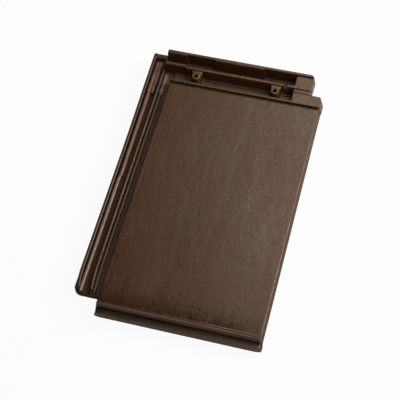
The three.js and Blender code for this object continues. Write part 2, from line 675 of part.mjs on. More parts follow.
// A hook rib under the plate that hangs in one of the head channels of the tile below.
function hookRib(channelFrom, channelTo) {
  const from = channelFrom + HOOK_PLAY - gauge;
  const to = channelTo - HOOK_PLAY - gauge;
  return alongX([
    [from - UNDER_SLOPE, -PLATE_THICKNESS + OVERLAP],
    [from, standing, FOOT_EDGE],
    [to, standing, FOOT_EDGE],
    [to + UNDER_SLOPE, -PLATE_THICKNESS + OVERLAP],
  ], LOCK_WEB, channelEnd - HOOK_PLAY);
}

function underside() {
  const nibs = join(nib(NIB_INSET), nib(channelEnd - NIB_INSET - NIB_WIDTH));
  const bossGaps = nailX.map((x) => block(
    [x - BOSS_ROOT / 2 - HOOK_PLAY, noseBack + OVERLAP, standing - OVERLAP],
    [x + CURB_FROM_HOLE + CURB + HOOK_PLAY, middleRib - gauge + 2 * OVERLAP, -PLATE_THICKNESS],
  ));
  const frontHook = cut(hookRib(frontRibEnd + WALL_DRAFT, middleRib - WEIR_DRAFT), ...bossGaps);
  const rearHook = hookRib(middleRibEnd + WALL_DRAFT, padFoot);
  const stiffeners = Array.from({ length: STIFFENERS }, (_, i) => {
    const x = THREE.MathUtils.lerp(LOCK_WEB, channelEnd, (i + 1) / (STIFFENERS + 1));
    return alongY([
      [x - STIFFENER_WIDTH / 2, -PLATE_THICKNESS + OVERLAP],
      [x - STIFFENER_WIDTH / 2 + UNDER_SLOPE, -PLATE_THICKNESS - STIFFENER_DEPTH, SMALL_EDGE],
      [x + STIFFENER_WIDTH / 2 - UNDER_SLOPE, -PLATE_THICKNESS - STIFFENER_DEPTH, SMALL_EDGE],
      [x + STIFFENER_WIDTH / 2, -PLATE_THICKNESS + OVERLAP],
    ], headEnd - gauge + HOOK_PLAY, PLATE_LENGTH + 2 * OVERLAP);
  });
  return join(nibs, frontHook, rearHook, ...stiffeners);
}

function tileSolid() {
  const body = join(
    plate(),
    flange(),
    nose(),
    sideLock(),
    head(),
    shoulder(),
    underside(),
    ...nailX.map(boss),
    ...nailX.map(curb),
  );
  return cut(body, ...nailX.map(nailHole));
}

// ---- The tile as a mesh ----
const made = tileSolid().getMesh();
const geometry = new THREE.BufferGeometry();
geometry.setAttribute("position", new THREE.BufferAttribute(made.vertProperties, 3));
geometry.setIndex(new THREE.BufferAttribute(made.triVerts, 1));
geometry.computeBoundingBox();
const { min, max } = geometry.boundingBox;
geometry.translate(-(min.x + max.x) / 2, -(min.y + max.y) / 2, -min.z);

const engobe = new THREE.MeshStandardMaterial({ color: 0x4f3c2f, roughness: 0.45, metalness: 0 });
const roofTile = new THREE.Mesh(geometry, engobe);
roofTile.name = "roof_tile";

const tile = new THREE.Group();
tile.add(roofTile);
export default tile;
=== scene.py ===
"""Looks of a flat interlocking roof tile of pressed clay with a dark brown satin engobe.

The tile is one pressed body. Its face and its underside are two height surfaces over one net of
lines, joined by side walls along the outline and round the nail holes. Shapes are worked out in
millimetres, with X 0 at the lock-side edge of the plate, Y 0 at the crest of the nose bead and
height 0 at the face of the plate, and are moved into the frame at the end.
"""
import logging
import math
from collections.abc import Callable
from dataclasses import dataclass, field
from enum import Enum
from functools import partial

import bpy
import numpy as np
from mathutils import Matrix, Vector
from numpy.typing import NDArray


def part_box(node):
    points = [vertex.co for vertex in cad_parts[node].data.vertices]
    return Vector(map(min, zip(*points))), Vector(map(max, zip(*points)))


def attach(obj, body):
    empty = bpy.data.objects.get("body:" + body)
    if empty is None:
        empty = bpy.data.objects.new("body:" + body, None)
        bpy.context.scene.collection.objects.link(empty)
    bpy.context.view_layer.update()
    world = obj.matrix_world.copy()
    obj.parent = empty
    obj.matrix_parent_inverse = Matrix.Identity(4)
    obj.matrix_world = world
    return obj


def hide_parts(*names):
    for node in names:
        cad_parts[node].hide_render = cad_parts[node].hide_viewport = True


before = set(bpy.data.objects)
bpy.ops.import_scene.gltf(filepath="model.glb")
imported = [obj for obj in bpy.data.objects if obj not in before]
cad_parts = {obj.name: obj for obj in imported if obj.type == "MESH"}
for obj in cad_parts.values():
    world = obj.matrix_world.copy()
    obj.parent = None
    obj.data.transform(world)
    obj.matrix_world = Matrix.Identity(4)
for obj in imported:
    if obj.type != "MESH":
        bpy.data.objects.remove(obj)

Array = NDArray[np.float64]
Numbers = NDArray[np.int64]
Mask = NDArray[np.bool_]
Surface = Callable[[Array, Array], Array]
Shift = Callable[[Array], Array]
Corner = tuple[float, ...]
Places = tuple[float, ...]
Span = tuple[float, float]
Place = tuple[float, float, float]
Colour = tuple[float, float, float, float]
log = logging.getLogger("roof_tile")
MILLIMETRE = 0.001
FAR = 800.0  # further than the tile is long
DEEP = 60.0  # deeper than the tile is thick
WHITE: Colour = (1.0, 1.0, 1.0, 1.0)


# ---------------------------------------------------------------- profiles and line nets


@dataclass(frozen=True)
class Profile:
    """A height along one direction: straight runs between corners, with rounded corners.

    Corners are (place, height) or (place, height, round), with places in rising order. A round
    starts that far before its corner and ends that far after it, along a quadratic curve.
    """

    corners: tuple[Corner, ...]
    steps: int = 8
    most: float = 0.49  # largest share of a straight run that one rounding takes

    def bends(self) -> list[Array]:
        """Works out each corner's curve as rows of (place, height).

        Returns:
            One array for each corner, in order.
        """
        at = [np.array(c[:2], float) for c in self.corners]
        t = np.linspace(0.0, 1.0, self.steps + 1)[:, None]
        made = []
        for i, corner in enumerate(self.corners):
            size = corner[2] if len(corner) > 2 else 0.0
            if not size or i in (0, len(at) - 1):
                made.append(at[i][None, :])
                continue
            start, end = (self._towards(at[i], at[j], size, self.most) for j in (i - 1, i + 1))
            made.append((1 - t) ** 2 * start + 2 * t * (1 - t) * at[i] + t ** 2 * end)
        return made

    @staticmethod
    def _towards(corner: Array, other: Array, size: float, most: float) -> Array:
        """Gives the point that far from a corner along a side, or at the largest share of it.

        Args:
            corner: (place, height) of the corner.
            other: (place, height) of the other end of its side.
            size: the distance.
            most: the largest share of the side.

        Returns:
            The point.
        """
        side = other - corner
        length = float(np.hypot(*side))
        return corner + side * min(size / length, most)

    def __call__(self, place: Array) -> Array:
        """Gives the height at each place; beyond the ends it stays level."""
        line = np.concatenate(self.bends())
        return np.interp(place, line[:, 0], line[:, 1])

    def stations(self) -> list[float]:
        """Lists the places where the surface needs a line: each curve's start, middle and end."""
        return [float(bend[i, 0]) for bend in self.bends() for i in {0, len(bend) // 2, len(bend) - 1}]


def edge(rounding: float, run: float, fall: float) -> Profile:
    """Makes the drop of a surface near its edge, as a function of the distance inside it.

    Args:
        rounding: size of the rounded corner.
        run: how far the wall below the edge spreads outwards.
        fall: over what height it spreads that far.

    Returns:
        A profile that is 0 well inside and falls along the wall outside.
    """
    return Profile(((-run * DEEP / fall, -DEEP), (0.0, 0.0, rounding), (FAR, 0.0)))


def ramp(value: Array, start: float, end: float) -> Array:
    """Goes straight from 0 at start to 1 at end, and stays level outside."""
    return np.clip((value - start) / (end - start), 0.0, 1.0)


def smooth(share: Array) -> Array:
    """Eases a share between 0 and 1: three times its square less twice its cube."""
    return share * share * (3.0 - 2.0 * share)


def waves(place: Array, terms: tuple[Place, ...]) -> Array:
    """Adds up waves: each is its size times the sine of place over length plus start."""
    return sum(size * np.sin(place / length + start) for size, length, start in terms)


def blend_max(a: Array, b: Array, size: float) -> Array:
    """Takes the higher of two heights, with a fillet of about that size where they cross."""
    share = np.clip(0.5 + 0.5 * (a - b) / size, 0.0, 1.0)
    return b + (a - b) * share + size * share * (1.0 - share)


def blend_min(a: Array, b: Array, size: float) -> Array:
    """Takes the lower of two heights, rounded where they cross."""
    return -blend_max(-a, -b, size)


@dataclass
class LineNet:
    """Places of the lines of the net along one direction.

    Lines stand at every station, and wider gaps are filled with lines whose spacing grows with
    the distance from the nearest station. Between kept places there is an even number of steps,
    because the underside uses every second line.
    """

    low: float
    high: float
    finest: float = 0.8  # spacing next to a station
    growth: float = 0.6  # how fast the spacing grows
    close: float = 0.22  # a station this near to a line adds none
    stations: list[float] = field(default_factory=list)
    fixed: list[float] = field(default_factory=list)

    def add(self, *profiles: Profile) -> None:
        """Adds the stations of some profiles."""
        for profile in profiles:
            self.stations += [s for s in profile.stations() if self.low < s < self.high]

    def keep(self, *places: float) -> None:
        """Adds places that must have a line exactly there."""
        self.fixed += places

    def lines(self) -> Array:
        """Sorts the places, drops those that nearly coincide and fills the gaps.

        Returns:
            The places of the lines, in rising order.
        """
        fixed = sorted({self.low, self.high, *self.fixed})
        kept = list(fixed)
        for place in sorted(self.stations):
            if min(abs(place - k) for k in kept) >= self.close:
                kept.append(place)
        kept.sort()
        made = [kept[0]]
        for a, b in zip(kept[:-1], kept[1:]):
            made += self._filled(a, b)
            if b in fixed:
                start = made.index(fixed[fixed.index(b) - 1])
                if (len(made) - 1 - start) % 2:
                    steps = np.diff(made[start:])
                    widest = start + int(np.argmax(steps))
                    made.insert(widest + 1, (made[widest] + made[widest + 1]) / 2)
        return np.array(made)

    def _filled(self, a: float, b: float) -> list[float]:
        """Fills one gap; the spacing grows from both ends to its middle.

        Args:
            a: the line before the gap.
            b: the line behind it.

        Returns:
            The places of the new lines and of the line behind the gap.
        """
        half = (b - a) / 2
        reach = self.growth * half / self.finest
        count = max(1, round(2 * math.log(1 + reach) / self.growth))
        t = np.linspace(-1.0, 1.0, count + 1)[1:]
        spread = np.sign(t) * ((1 + reach) - (1 + reach) ** (1 - np.abs(t))) / reach
        return [*((a + b) / 2 + half * spread[:-1]), b]


def inset(a: Array, b: Array, size: float) -> Array:
    """Gives the distance inside a rounded corner from the distances inside its two sides.

    Away from the corner it is the smaller of the two; near it, the radius less the distance from
    the arc's centre.
    """
    p, q = size - a, size - b
    return size - np.hypot(np.maximum(p, 0.0), np.maximum(q, 0.0)) - np.minimum(np.maximum(p, q), 0.0)


def round_square(a: Array, b: Array) -> tuple[Array, Array]:
    """Turns squares round a centre into circles of the same half-width.

    The larger of the two distances becomes the radius, and the smaller sets the angle.

    Args:
        a: signed distance from the centre along X.
        b: signed distance along Y.

    Returns:
        The two distances after the turn.
    """
    size = np.maximum(np.abs(a), np.abs(b))
    safe = np.maximum(size, 1e-9)
    flat = np.abs(a) >= np.abs(b)
    angle = np.where(flat, b / safe, a / safe) * (math.pi / 4)
    near, far = size * np.cos(angle), size * np.sin(angle)
    return (
        np.where(flat, np.sign(a) * near, far),
        np.where(flat, far, np.sign(b) * near),
    )


# ---------------------------------------------------------------- regions of the tile


@dataclass
class Plate:
    """The weathered face, its thickness and the edges beside the lock and the cover joint."""

    width: float = 248.0
    length: float = 406.0
    edge_round: float = 2.5
    lock_round: float = 1.3
    lock_wall: Span = (1.0, 15.5)  # spread, height
    sag: float = 0.012
    waves_across: tuple[Place, ...] = ((1.0, 41.0, 0.8), (0.6, 23.0, 2.1))  # size, length, start
    waves_along: tuple[Place, ...] = ((1.0, 67.0, 0.3), (0.5, 37.0, 1.2))
    calm_side: Span = (2.0, 20.0)  # inside the edge: where the waves start and are full
    calm_nose: Span = (14.0, 34.0)
    calm_head: Span = (1.0, 20.0)
    fall: float = 2.0  # towards the cover joint
    fall_width: float = 105.0
    fall_fade: float = 260.0

    def lock_side(self) -> Profile:
        """Drop of the face at the lock-side edge, measured from that edge."""
        return edge(self.lock_round, *self.lock_wall)

    def cover_side(self, wall_spread: float, wall_height: float) -> Profile:
        """Drop of the face at the cover joint; its wall spreads downwards."""
        return edge(self.edge_round, wall_spread, wall_height)

    def waviness(self, x: Array, y: Array) -> Array:
        """Leaves the pressed face slightly uneven.

        The product of two slow waves along each direction, calm near the plate's edges, less a
        fall towards the cover joint that grows as the square of the distance and fades at the head.

        Args:
            x: places across the roof.
            y: places up the roof.

        Returns:
            How much higher the face lies at each place.
        """
        inside = ramp(x, *self.calm_side) * ramp(self.width - x, *self.calm_side)
        inside = inside * ramp(y, *self.calm_nose) * ramp(self.length - y, *self.calm_head)
        uneven = waves(x, self.waves_across) * waves(y, self.waves_along) * inside
        falling = ramp(x, self.width - self.fall_width, self.width) ** 2
        falling = falling * smooth(1.0 - ramp(y, self.length - self.fall_fade, self.length))
        return self.sag * uneven - self.fall * falling


@dataclass
class Nose:
    """The hanging front edge: bead, steep face, sloping lip and the wall behind them."""

    front: float = -13.1
    bead_rise: float = 1.5
    bead_edge: float = 2.3
    bead_round: float = 3.2
    steep_drop: float = 13.0
    steep_run: float = 2.9
    steep_foot_round: float = 1.0
    lip_drop: float = 4.5
    lip_round: float = 1.8
    lip_margin: float = 3.0
    flare: float = 3.5
    taper: float = 2.0
    taper_length: float = 10.0
    dip: float = 1.2  # behind the bead
    dip_end: float = 50.0
    dip_at: Places = (3.0, 7.0, 12.0, 18.0, 26.0, 36.0, 50.0)
    dip_round: float = 1.7

    def profile(self) -> list[Corner]:
        """Corners from the lip to the plate.

        Returns:
            The corners of its section along the roof.
        """
        steep_foot = -self.bead_edge - self.steep_run
        beyond = 1.0 + self.lip_margin / (steep_foot - self.front)
        return [
            (self.front - self.lip_margin, -self.steep_drop - self.lip_drop * beyond),
            (steep_foot, -self.steep_drop, self.steep_foot_round),
            (-self.bead_edge, self.bead_rise, self.bead_round),
            *((y, self.falling(y), self.dip_round) for y in self.dip_at),
        ]

    def falling(self, y: float) -> float:
        """Height where the plate falls gently to the bead: the cube of what is left of its run."""
        return -self.dip * ((self.dip_end - y) / (self.dip_end - self.dip_at[0])) ** 3

    def draw_back(self, x: Array, left: float, right: float) -> Array:
        """How far the front edge draws back near its two ends."""
        near = np.minimum(x - left, right - x)
        return self.taper * smooth(1.0 - ramp(near, 0.0, self.taper_length))


@dataclass
class SideLock:
    """Base, four water bars, their wider keys and the rim at the head."""

    outer: float = -43.0
    foot: float = 13.0
    corner: float = 12.0
    head: float = 464.5
    floor: float = -15.5
    top: float = -8.0
    slope: float = 1.0
    margin: float = 3.0
    bar_round: float = 1.5
    outer_round: float = 4.0
    outer_wall: float = 9.5  # over what height the outer side spreads by the slope
    root_round: float = 0.9
    outer_bar: Span = (-42.0, -36.9)
    broad_bar: Span = (-34.4, -28.4)
    third_bar: Span = (-20.8, -16.8)
    fourth_bar: Span = (-14.2, -10.2)
    broad_crown: float = 3.9
    crown_slope: float = 0.45
    crown_edge: float = 0.5
    crown_rounds: Span = (1.2, 1.6)  # above and below its slope
    broad_key: Span = (-35.2, -24.4)
    fourth_key: Span = (-15.3, -8.7)
    key_ridge: float = 3.6
    key_rounds: tuple[float, float, float] = (1.6, 0.5, 0.7)  # ridge, ledge, edge
    ledge_drop: float = 1.2
    ledge_run: float = 0.6
    ledge_fall: float = 0.3
    key_at: float = 385.0
    key_overlap: float = 0.4
    jog_at: float = 221.0
    jog: float = 1.4
    jog_half: float = 0.6
    outer_bend: Span = (5.0, 34.0)  # how far aside, over what length
    third_bend: Span = (4.2, 42.0)
    fourth_bend: Span = (1.9, 60.0)
    flare: float = 1.578
    flare_at: float = 280.0
    broad_end: float = 448.7
    fourth_end: float = 427.5
    bar_start: float = 1.0  # behind the foot
    beyond: float = 5.0
    rim: float = 8.7
    rear_corner: float = 4.0
    rear_wall: Span = (0.3, 7.0)  # spread, height
    end_lean: float = 0.1
    lean: float = 0.3
    long_lean: float = 1.0

    def bar(self, span: Span, left: float | None = None, crown: float = 0.0) -> Profile:
        """Section of a bar: sloping sides, rounded edges and small fillets at its roots.

        Args:
            span: its two edges.
            left: rounding of the edge away from the plate.
            crown: how wide its top slopes down towards the plate.

        Returns:
            The section, in height over the distance across.
        """
        x0, x1 = span
        falling = (
            (x1 - crown, self.top, self.crown_rounds[0]),
            (x1 - self.crown_edge, self.top - self.crown_slope * crown, self.crown_rounds[1]),
        )
        return self._rooted(span, (
            (x0, self.top, left or self.bar_round),
            *(falling if crown else ((x1, self.top, self.bar_round),)),
        ))

    def key(self, span: Span) -> Profile:
        """Section of a key: a ridge with a lower ledge on the plate's side.

        Args:
            span: its two edges.

        Returns:
            The section, in height over the distance across.
        """
        x0, x1 = span
        ledge = self.top - self.ledge_drop
        ridge_round, ledge_round, edge_round = self.key_rounds
        return self._rooted(span, (
            (x0, self.top, self.bar_round),
            (x0 + self.key_ridge, self.top, ridge_round),
            (x0 + self.key_ridge + self.ledge_run, ledge, ledge_round),
            (x1, ledge - self.ledge_fall, edge_round),
        ))

    def _rooted(self, span: Span, crest: tuple[Corner, ...]) -> Profile:
        """Adds the sloping sides and the roots of a section to the corners of its crest.

        Args:
            span: its two edges.
            crest: the corners of its top.

        Returns:
            The whole section.
        """
        low, high = span[0] - self.slope, span[1] + self.slope
        return Profile((
            (low - self.margin, self.floor),
            (low, self.floor, self.root_round),
            *crest,
            (high, self.floor, self.root_round),
            (high + self.margin, self.floor),
        ))

    def reach(self, start: float, end: float, lean: float) -> Profile:
        """Height allowed along a bar: its front end leans back and its far end is steep.

        Args:
            start: where its front end rises.
            end: where its top ends.
            lean: how far the front end runs back for each millimetre of its rise.

        Returns:
            The height allowed, over the place up the roof.
        """
        rise = self.top - self.floor
        foot = end + self.end_lean * rise
        return Profile((
            (start - self.margin, self.floor),
            (start, self.floor, self.root_round),
            (start + lean * rise, self.top, self.bar_round),
            (end, self.top, self.bar_round),
            (foot, self.floor, self.root_round),
            (foot + self.margin, self.floor),
        ))

    def bar_reach(self) -> Profile:
        """Reach of the broad and the fourth bar, up to their keys."""
        return self.reach(self.foot + self.bar_start, self.key_at, self.lean)

    def key_reach(self, end: float) -> Profile:
        """Reach of a key, from just in front of its bar's end."""
        return self.reach(self.key_at - self.key_overlap, end, self.end_lean)

    def foot_bend(self, y: Array, bend: Span) -> Array:
        """Sideways bend of a bar's foot: the power one and a half of what is left of it.

        Args:
            y: places along the roof.
            bend: how far the foot stands aside, and over what length it comes back.

        Returns:
            The shift across at each place.
        """
        amount, length = bend
        return amount * np.clip(1.0 - (y - self.foot) / length, 0.0, 1.0) ** 1.5

    def spread(self, y: Array) -> Array:
        """How far the lock's outer side moves outwards towards the head."""
        return -self.flare * smooth(ramp(y, self.flare_at, self.head))

    def outer_shift(self, y: Array) -> Array:
        """The outer bar follows both its foot's bend and the spread of the lock."""
        return self.foot_bend(y, self.outer_bend) + self.spread(y)

    def broad_shift(self, y: Array) -> Array:
        """The broad bar steps sideways half-way up and draws back from there."""
        step = ramp(y, self.jog_at - self.jog_half, self.jog_at + self.jog_half)
        return self.jog * step * (1.0 - ramp(y, self.jog_at, self.key_at))

    def pieces(self) -> list[tuple[Profile, Profile, Shift]]:
        """Lists each bar's or key's section, reach along Y and sideways movement.

        Returns:
            A row for each bar and each key.
        """
        long_reach = self.reach(self.foot + self.bar_start, self.head + self.beyond, self.long_lean)
        third = partial(self.foot_bend, bend=self.third_bend)
        fourth = partial(self.foot_bend, bend=self.fourth_bend)
        return [
            (self.bar(self.outer_bar, self.outer_round), long_reach, self.outer_shift),
            (self.bar(self.broad_bar, crown=self.broad_crown), self.bar_reach(), self.broad_shift),
            (self.key(self.broad_key), self.key_reach(self.broad_end), np.zeros_like),
            (self.bar(self.third_bar), long_reach, third),
            (self.bar(self.fourth_bar), self.bar_reach(), fourth),
            (self.key(self.fourth_key), self.key_reach(self.fourth_end), np.zeros_like),
        ]

    def height(self, x: Array, y: Array) -> Array:
        """Highest of the bars and the rim over the floor of the grooves.

        Args:
            x: places across the roof.
            y: places up the roof.

        Returns:
            The height at each place.
        """
        made = np.full_like(x, self.floor)
        for section, reach, shift in self.pieces():
            made = np.maximum(made, np.minimum(section(x - shift(y)), reach(y)))
        side, rear = x - self.outer - self.spread(y), self.head - y
        drop = edge(self.outer_round, self.slope, self.outer_wall)(side - self.slope)
        corner = inset(side, rear, self.rear_corner)
        drop = np.minimum(drop, edge(self.bar_round, *self.rear_wall)(corner))
        return np.maximum(made, np.minimum(self.rim_profile()(y), self.top + drop))

    def rim_profile(self) -> Profile:
        """Cross bar that closes the lock at the head.

        Returns:
            Its height over the place up the roof.
        """
        front = self.head - self.rim
        return Profile((
            (front - self.slope - self.margin, self.floor),
            (front - self.slope, self.floor, self.root_round),
            (front, self.top, self.bar_round),
            (FAR, self.top),
        ))


@dataclass
class Head:
    """Steps, ribs, channels, pads, landing and shoulder at the upper end."""

    start: float = 406.0
    step_rise: float = 5.0
    rib_rise: float = 7.0
    rear_rise: float = 10.0
    front_rib_end: float = 411.5
    middle_rib: float = 434.5
    middle_rib_end: float = 440.0
    recess: float = 459.5
    pad_front: float = 458.0
    pad_foot: float = 452.7
    end: float = 464.5
    floor: float = -10.5
    draft: float = 1.5
    weir: float = 3.3
    rib_round: float = 1.3
    front_round: float = 0.9
    over_lock_round: float = 2.5
    fillet: float = 2.5
    setback: float = 2.5
    setback_width: float = 19.0
    shift_calm: Span = (4.5, 0.5)  # past the front rib, past the foot of the pads
    overhang: float = 18.0
    overhang_wall: tuple[float, float, float] = (2.0, 0.5, 65.0)  # run outside, run inside, fall
    overhang_cut: float = 0.05
    channel_end: float = 200.0
    side: float = 228.2
    rear_corner: float = 6.0
    shoulder_end: float = 427.6
    pads: tuple[Span, ...] = ((-30.0, 14.5), (63.5, 145.5))
    pad_spread: float = 3.5
    pad_start: Span = (0.3, 1.5)  # in front of its foot, below the floor
    pad_top: float = 2.0
    pad_sunk: float = 1.0
    notch: Span = (183.7, 189.5)
    notch_floor: float = -2.0
    notch_top: float = 20.0
    notch_wall: float = 0.25
    notch_rounds: Span = (0.4, 0.5)  # low, high
    fin: Span = (185.6, 187.6)
    fin_top: float = 3.0
    step_run: float = 1.0
    foot_round: float = 0.8
    landing_step: float = 1.5
    landing_fall: Span = (5.0, 41.0)  # run, fall
    beyond: float = 9.0

    def rear(self, setback: float) -> list[Corner]:
        """Corners from the middle rib to the rear rib.

        Args:
            setback: how far the middle rib is set back.

        Returns:
            The corners, with places up the roof.
        """
        return [
            (self.middle_rib + setback, self.rib_rise, self.front_round),
            (self.middle_rib_end + setback, self.rib_rise, self.rib_round),
            (self.middle_rib_end + setback + self.draft, self.floor, self.fillet),
            (self.recess - self.weir, self.floor, self.fillet),
            (self.recess, self.rear_rise, self.front_round),
            (self.end + self.beyond, self.rear_rise),
        ]

    def along(self, setback: float) -> list[Corner]:
        """Corners from the head step to the rear.

        Args:
            setback: how far the middle rib is set back.

        Returns:
            The corners, with places up the roof.
        """
        return [
            (self.start, 0.0, self.foot_round),
            (self.start + self.step_run, self.step_rise, self.front_round),
            (self.front_rib_end, self.step_rise, self.rib_round),
            (self.front_rib_end + self.draft, self.floor, self.fillet),
            (self.middle_rib + setback - self.weir, self.floor, self.fillet),
            *self.rear(setback),
        ]

    def over_lock(self, lock_floor: float) -> Profile:
        """Over the lock there is no front channel: the weir goes down to the grooves.

        Args:
            lock_floor: height of the lock's grooves.

        Returns:
            The height of the ribs over the place up the roof.
        """
        rise = self.rib_rise - lock_floor
        foot = self.middle_rib + self.setback - self.weir * rise / (self.rib_rise - self.floor)
        start = (foot - self.beyond, lock_floor)
        return Profile((start, (foot, lock_floor, self.fillet), *self.rear(self.setback)))

    def over_lock_ends(self) -> Profile:
        """Drop of those ribs at their two ends across the roof.

        Returns:
            What their height changes by, over the place across.
        """
        before, inside, fall = self.overhang_wall
        return Profile((
            (-self.overhang - before, -fall),
            (-self.overhang + inside, 0.0, self.over_lock_round),
            (0.0, 0.0),
            (self.overhang_cut, -fall),
        ))

    def pad_profile(self) -> Profile:
        """Front of a pad: thicker at its foot, and starting below the floor.

        Returns:
            Its height over the place up the roof.
        """
        run, fall = self.pad_start
        return Profile((
            (self.pad_foot - run, self.floor - fall),
            (self.pad_front, self.rear_rise, self.front_round),
            (self.recess + self.pad_top, self.rear_rise),
        ))

    def pad_ends(self, span: Span) -> Profile:
        """Sloping ends of a pad.

        Args:
            span: where its top starts and ends.

        Returns:
            Its height over the place across.
        """
        x0, x1 = span
        low = self.floor - self.pad_sunk
        return Profile((
            (x0 - self.pad_spread, low),
            (x0, self.rear_rise, self.rib_round),
            (x1, self.rear_rise, self.rib_round),
            (x1 + self.pad_spread, low),
        ))

    def landing(self) -> Profile:
        """Two levels of the closed ground beside the channels.

        Returns:
            Its height over the place up the roof.
        """
        return Profile((
            (self.start - self.step_run, -DEEP),
            (self.start, 0.0),
            (self.start + self.step_run, self.step_rise, self.rib_round),
            (self.middle_rib, self.step_rise, self.foot_round),
            (self.middle_rib + self.landing_step, self.rib_rise, self.rib_round),
            (self.end + self.beyond, self.rib_rise),
        ))

    def landing_wall(self) -> Profile:
        """Drop of the landing towards the channels.

        Returns:
            What its height changes by, over the place across.
        """
        run, fall = self.landing_fall
        return Profile((
            (self.channel_end - run, -fall),
            (self.channel_end, 0.0, self.rib_round),
            (FAR, 0.0),
        ))

    def notch_profile(self) -> Profile:
        """Gap in the middle rib with a thin lower fin standing in it.

        Returns:
            The height left of the rib, over the place across.
        """
        (x0, x1), (f0, f1) = self.notch, self.fin
        wall, (low_round, high_round) = self.notch_wall, self.notch_rounds
        return Profile((
            (x0 - wall, self.notch_top),
            (x0 + wall, self.notch_floor, low_round),
            (f0 - wall, self.notch_floor, low_round),
            (f0 + wall, self.fin_top, high_round),
            (f1 - wall, self.fin_top, high_round),
            (f1 + wall, self.notch_floor, low_round),
            (x1 - wall, self.notch_floor, low_round),
            (x1 + wall, self.notch_top),
        ))

    def setback_shift(self, y: Array) -> Array:
        """How far the lines near the middle rib move back where it is set back.

        Args:
            y: places up the roof.

        Returns:
            The shift up the roof at each place.
        """
        before, after = self.shift_calm
        rise = ramp(y, self.front_rib_end + before, self.middle_rib - self.weir - self.fillet)
        fall = ramp(y, self.middle_rib_end + self.draft + self.fillet, self.pad_foot + after)
        return self.setback * (rise - fall)


@dataclass
class NailBoss:
    """A tongue with a round end and a nail hole, grown from the middle rib, with a low curb."""

    x: float
    y: float = 423.8
    radius: float = 6.6
    root_half: float = 9.3
    root: float = 435.5
    top: float = 5.0
    top_round: float = 1.3
    draft: float = 1.3
    wall: float = 15.5
    straight: float = 2.0
    hole: float = 3.2
    hole_round: float = 0.5
    hole_wall: Span = (0.1, 10.0)  # spread, height
    hole_depth: float = 1.0
    hole_rings: int = 3
    curb_from: float = 9.2
    curb: float = 2.6
    curb_rise: float = 3.0
    curb_sunk: float = 1.0
    curb_slope: float = 0.7
    curb_round: float = 0.9
    full: float = 7.8  # half-width of the part of the net that is turned into circles
    faded: float = 10.6  # half-width where that has faded out
    faded_sides: float = 4.0
    faded_behind: float = 0.5  # inside the radius, where they have faded out behind the hole
    circles: Places = (0.4, 1.0, 2.3, 2.8, 3.2, 3.6, 3.9, 4.2, 4.9, 5.6, 6.4, 7.4)  # outside the hole
    behind: Places = (3.6, 4.4, 5.5)  # behind its centre

    def inside(self, x: Array, y: Array) -> Array:
        """Distance inside the tongue's outline: a circle in front, widening sides behind it."""
        dx, dy = np.abs(x - self.x), y - self.y
        return np.where(dy < 0.0, self.radius - np.hypot(dx, dy), self.radius + self.widen(dy) - dx)

    def widen(self, dy: Array) -> Array:
        """How much each side of the tongue has widened towards its root."""
        return (self.root_half - self.radius) * ramp(dy, self.straight, self.root - self.y)

    def height(self, x: Array, y: Array) -> Array:
        """Height of the tongue, far below the floor outside it.

        Args:
            x: places across the roof.
            y: places up the roof.

        Returns:
            The height at each place.
        """
        body = self.top + edge(self.top_round, self.draft, self.wall)(self.inside(x, y))
        rim = edge(self.hole_round, *self.hole_wall)(np.hypot(x - self.x, y - self.y) - self.hole)
        return body + np.maximum(rim, -self.hole_depth)

    def curb_profile(self, floor: float) -> Profile:
        """Section of the curb across the channel.

        Args:
            floor: height of the channel's floor.

        Returns:
            Its height over the place across.
        """
        x0 = self.x + self.curb_from
        x1 = x0 + self.curb
        low, high = floor - self.curb_sunk, floor + self.curb_rise
        return Profile((
            (x0 - self.curb_slope, low),
            (x0, high, self.curb_round),
            (x1, high, self.curb_round),
            (x1 + self.curb_slope, low),
        ))

    def rings(self) -> list[float]:
        """Distances from the hole's centre of the lines that cross the hole, out to its edge."""
        return [self.hole * k / self.hole_rings for k in range(self.hole_rings + 1)]

    def bend_lines(self, x: Array, y: Array) -> tuple[Array, Array]:
        """Turns the squares of the net round the hole into circles, fading out further away.

        Behind the hole the circles fade out sooner, and the lines follow the widening sides.

        Args:
            x: places across the roof.
            y: places up the roof.

        Returns:
            The places after the turn.
        """
        a, b = x - self.x, y - self.y
        away = np.maximum(np.abs(a), np.abs(b))
        share = np.where(
            b < 0.0, 1.0 - ramp(away, self.full, self.faded),
            1.0 - ramp(away, self.hole + self.hole_round, self.radius - self.faded_behind),
        )
        ra, rb = round_square(a, b)
        beside = ramp(np.abs(a), self.hole + self.hole_round, self.radius - self.top_round)
        calm = self.full + self.draft
        beside = beside * (1.0 - ramp(np.abs(a), calm, calm + self.faded_sides))
        out = np.sign(a) * self.widen(b) * beside * (b < self.root - self.y)
        return x + (ra - a) * share + out, y + (rb - b) * share


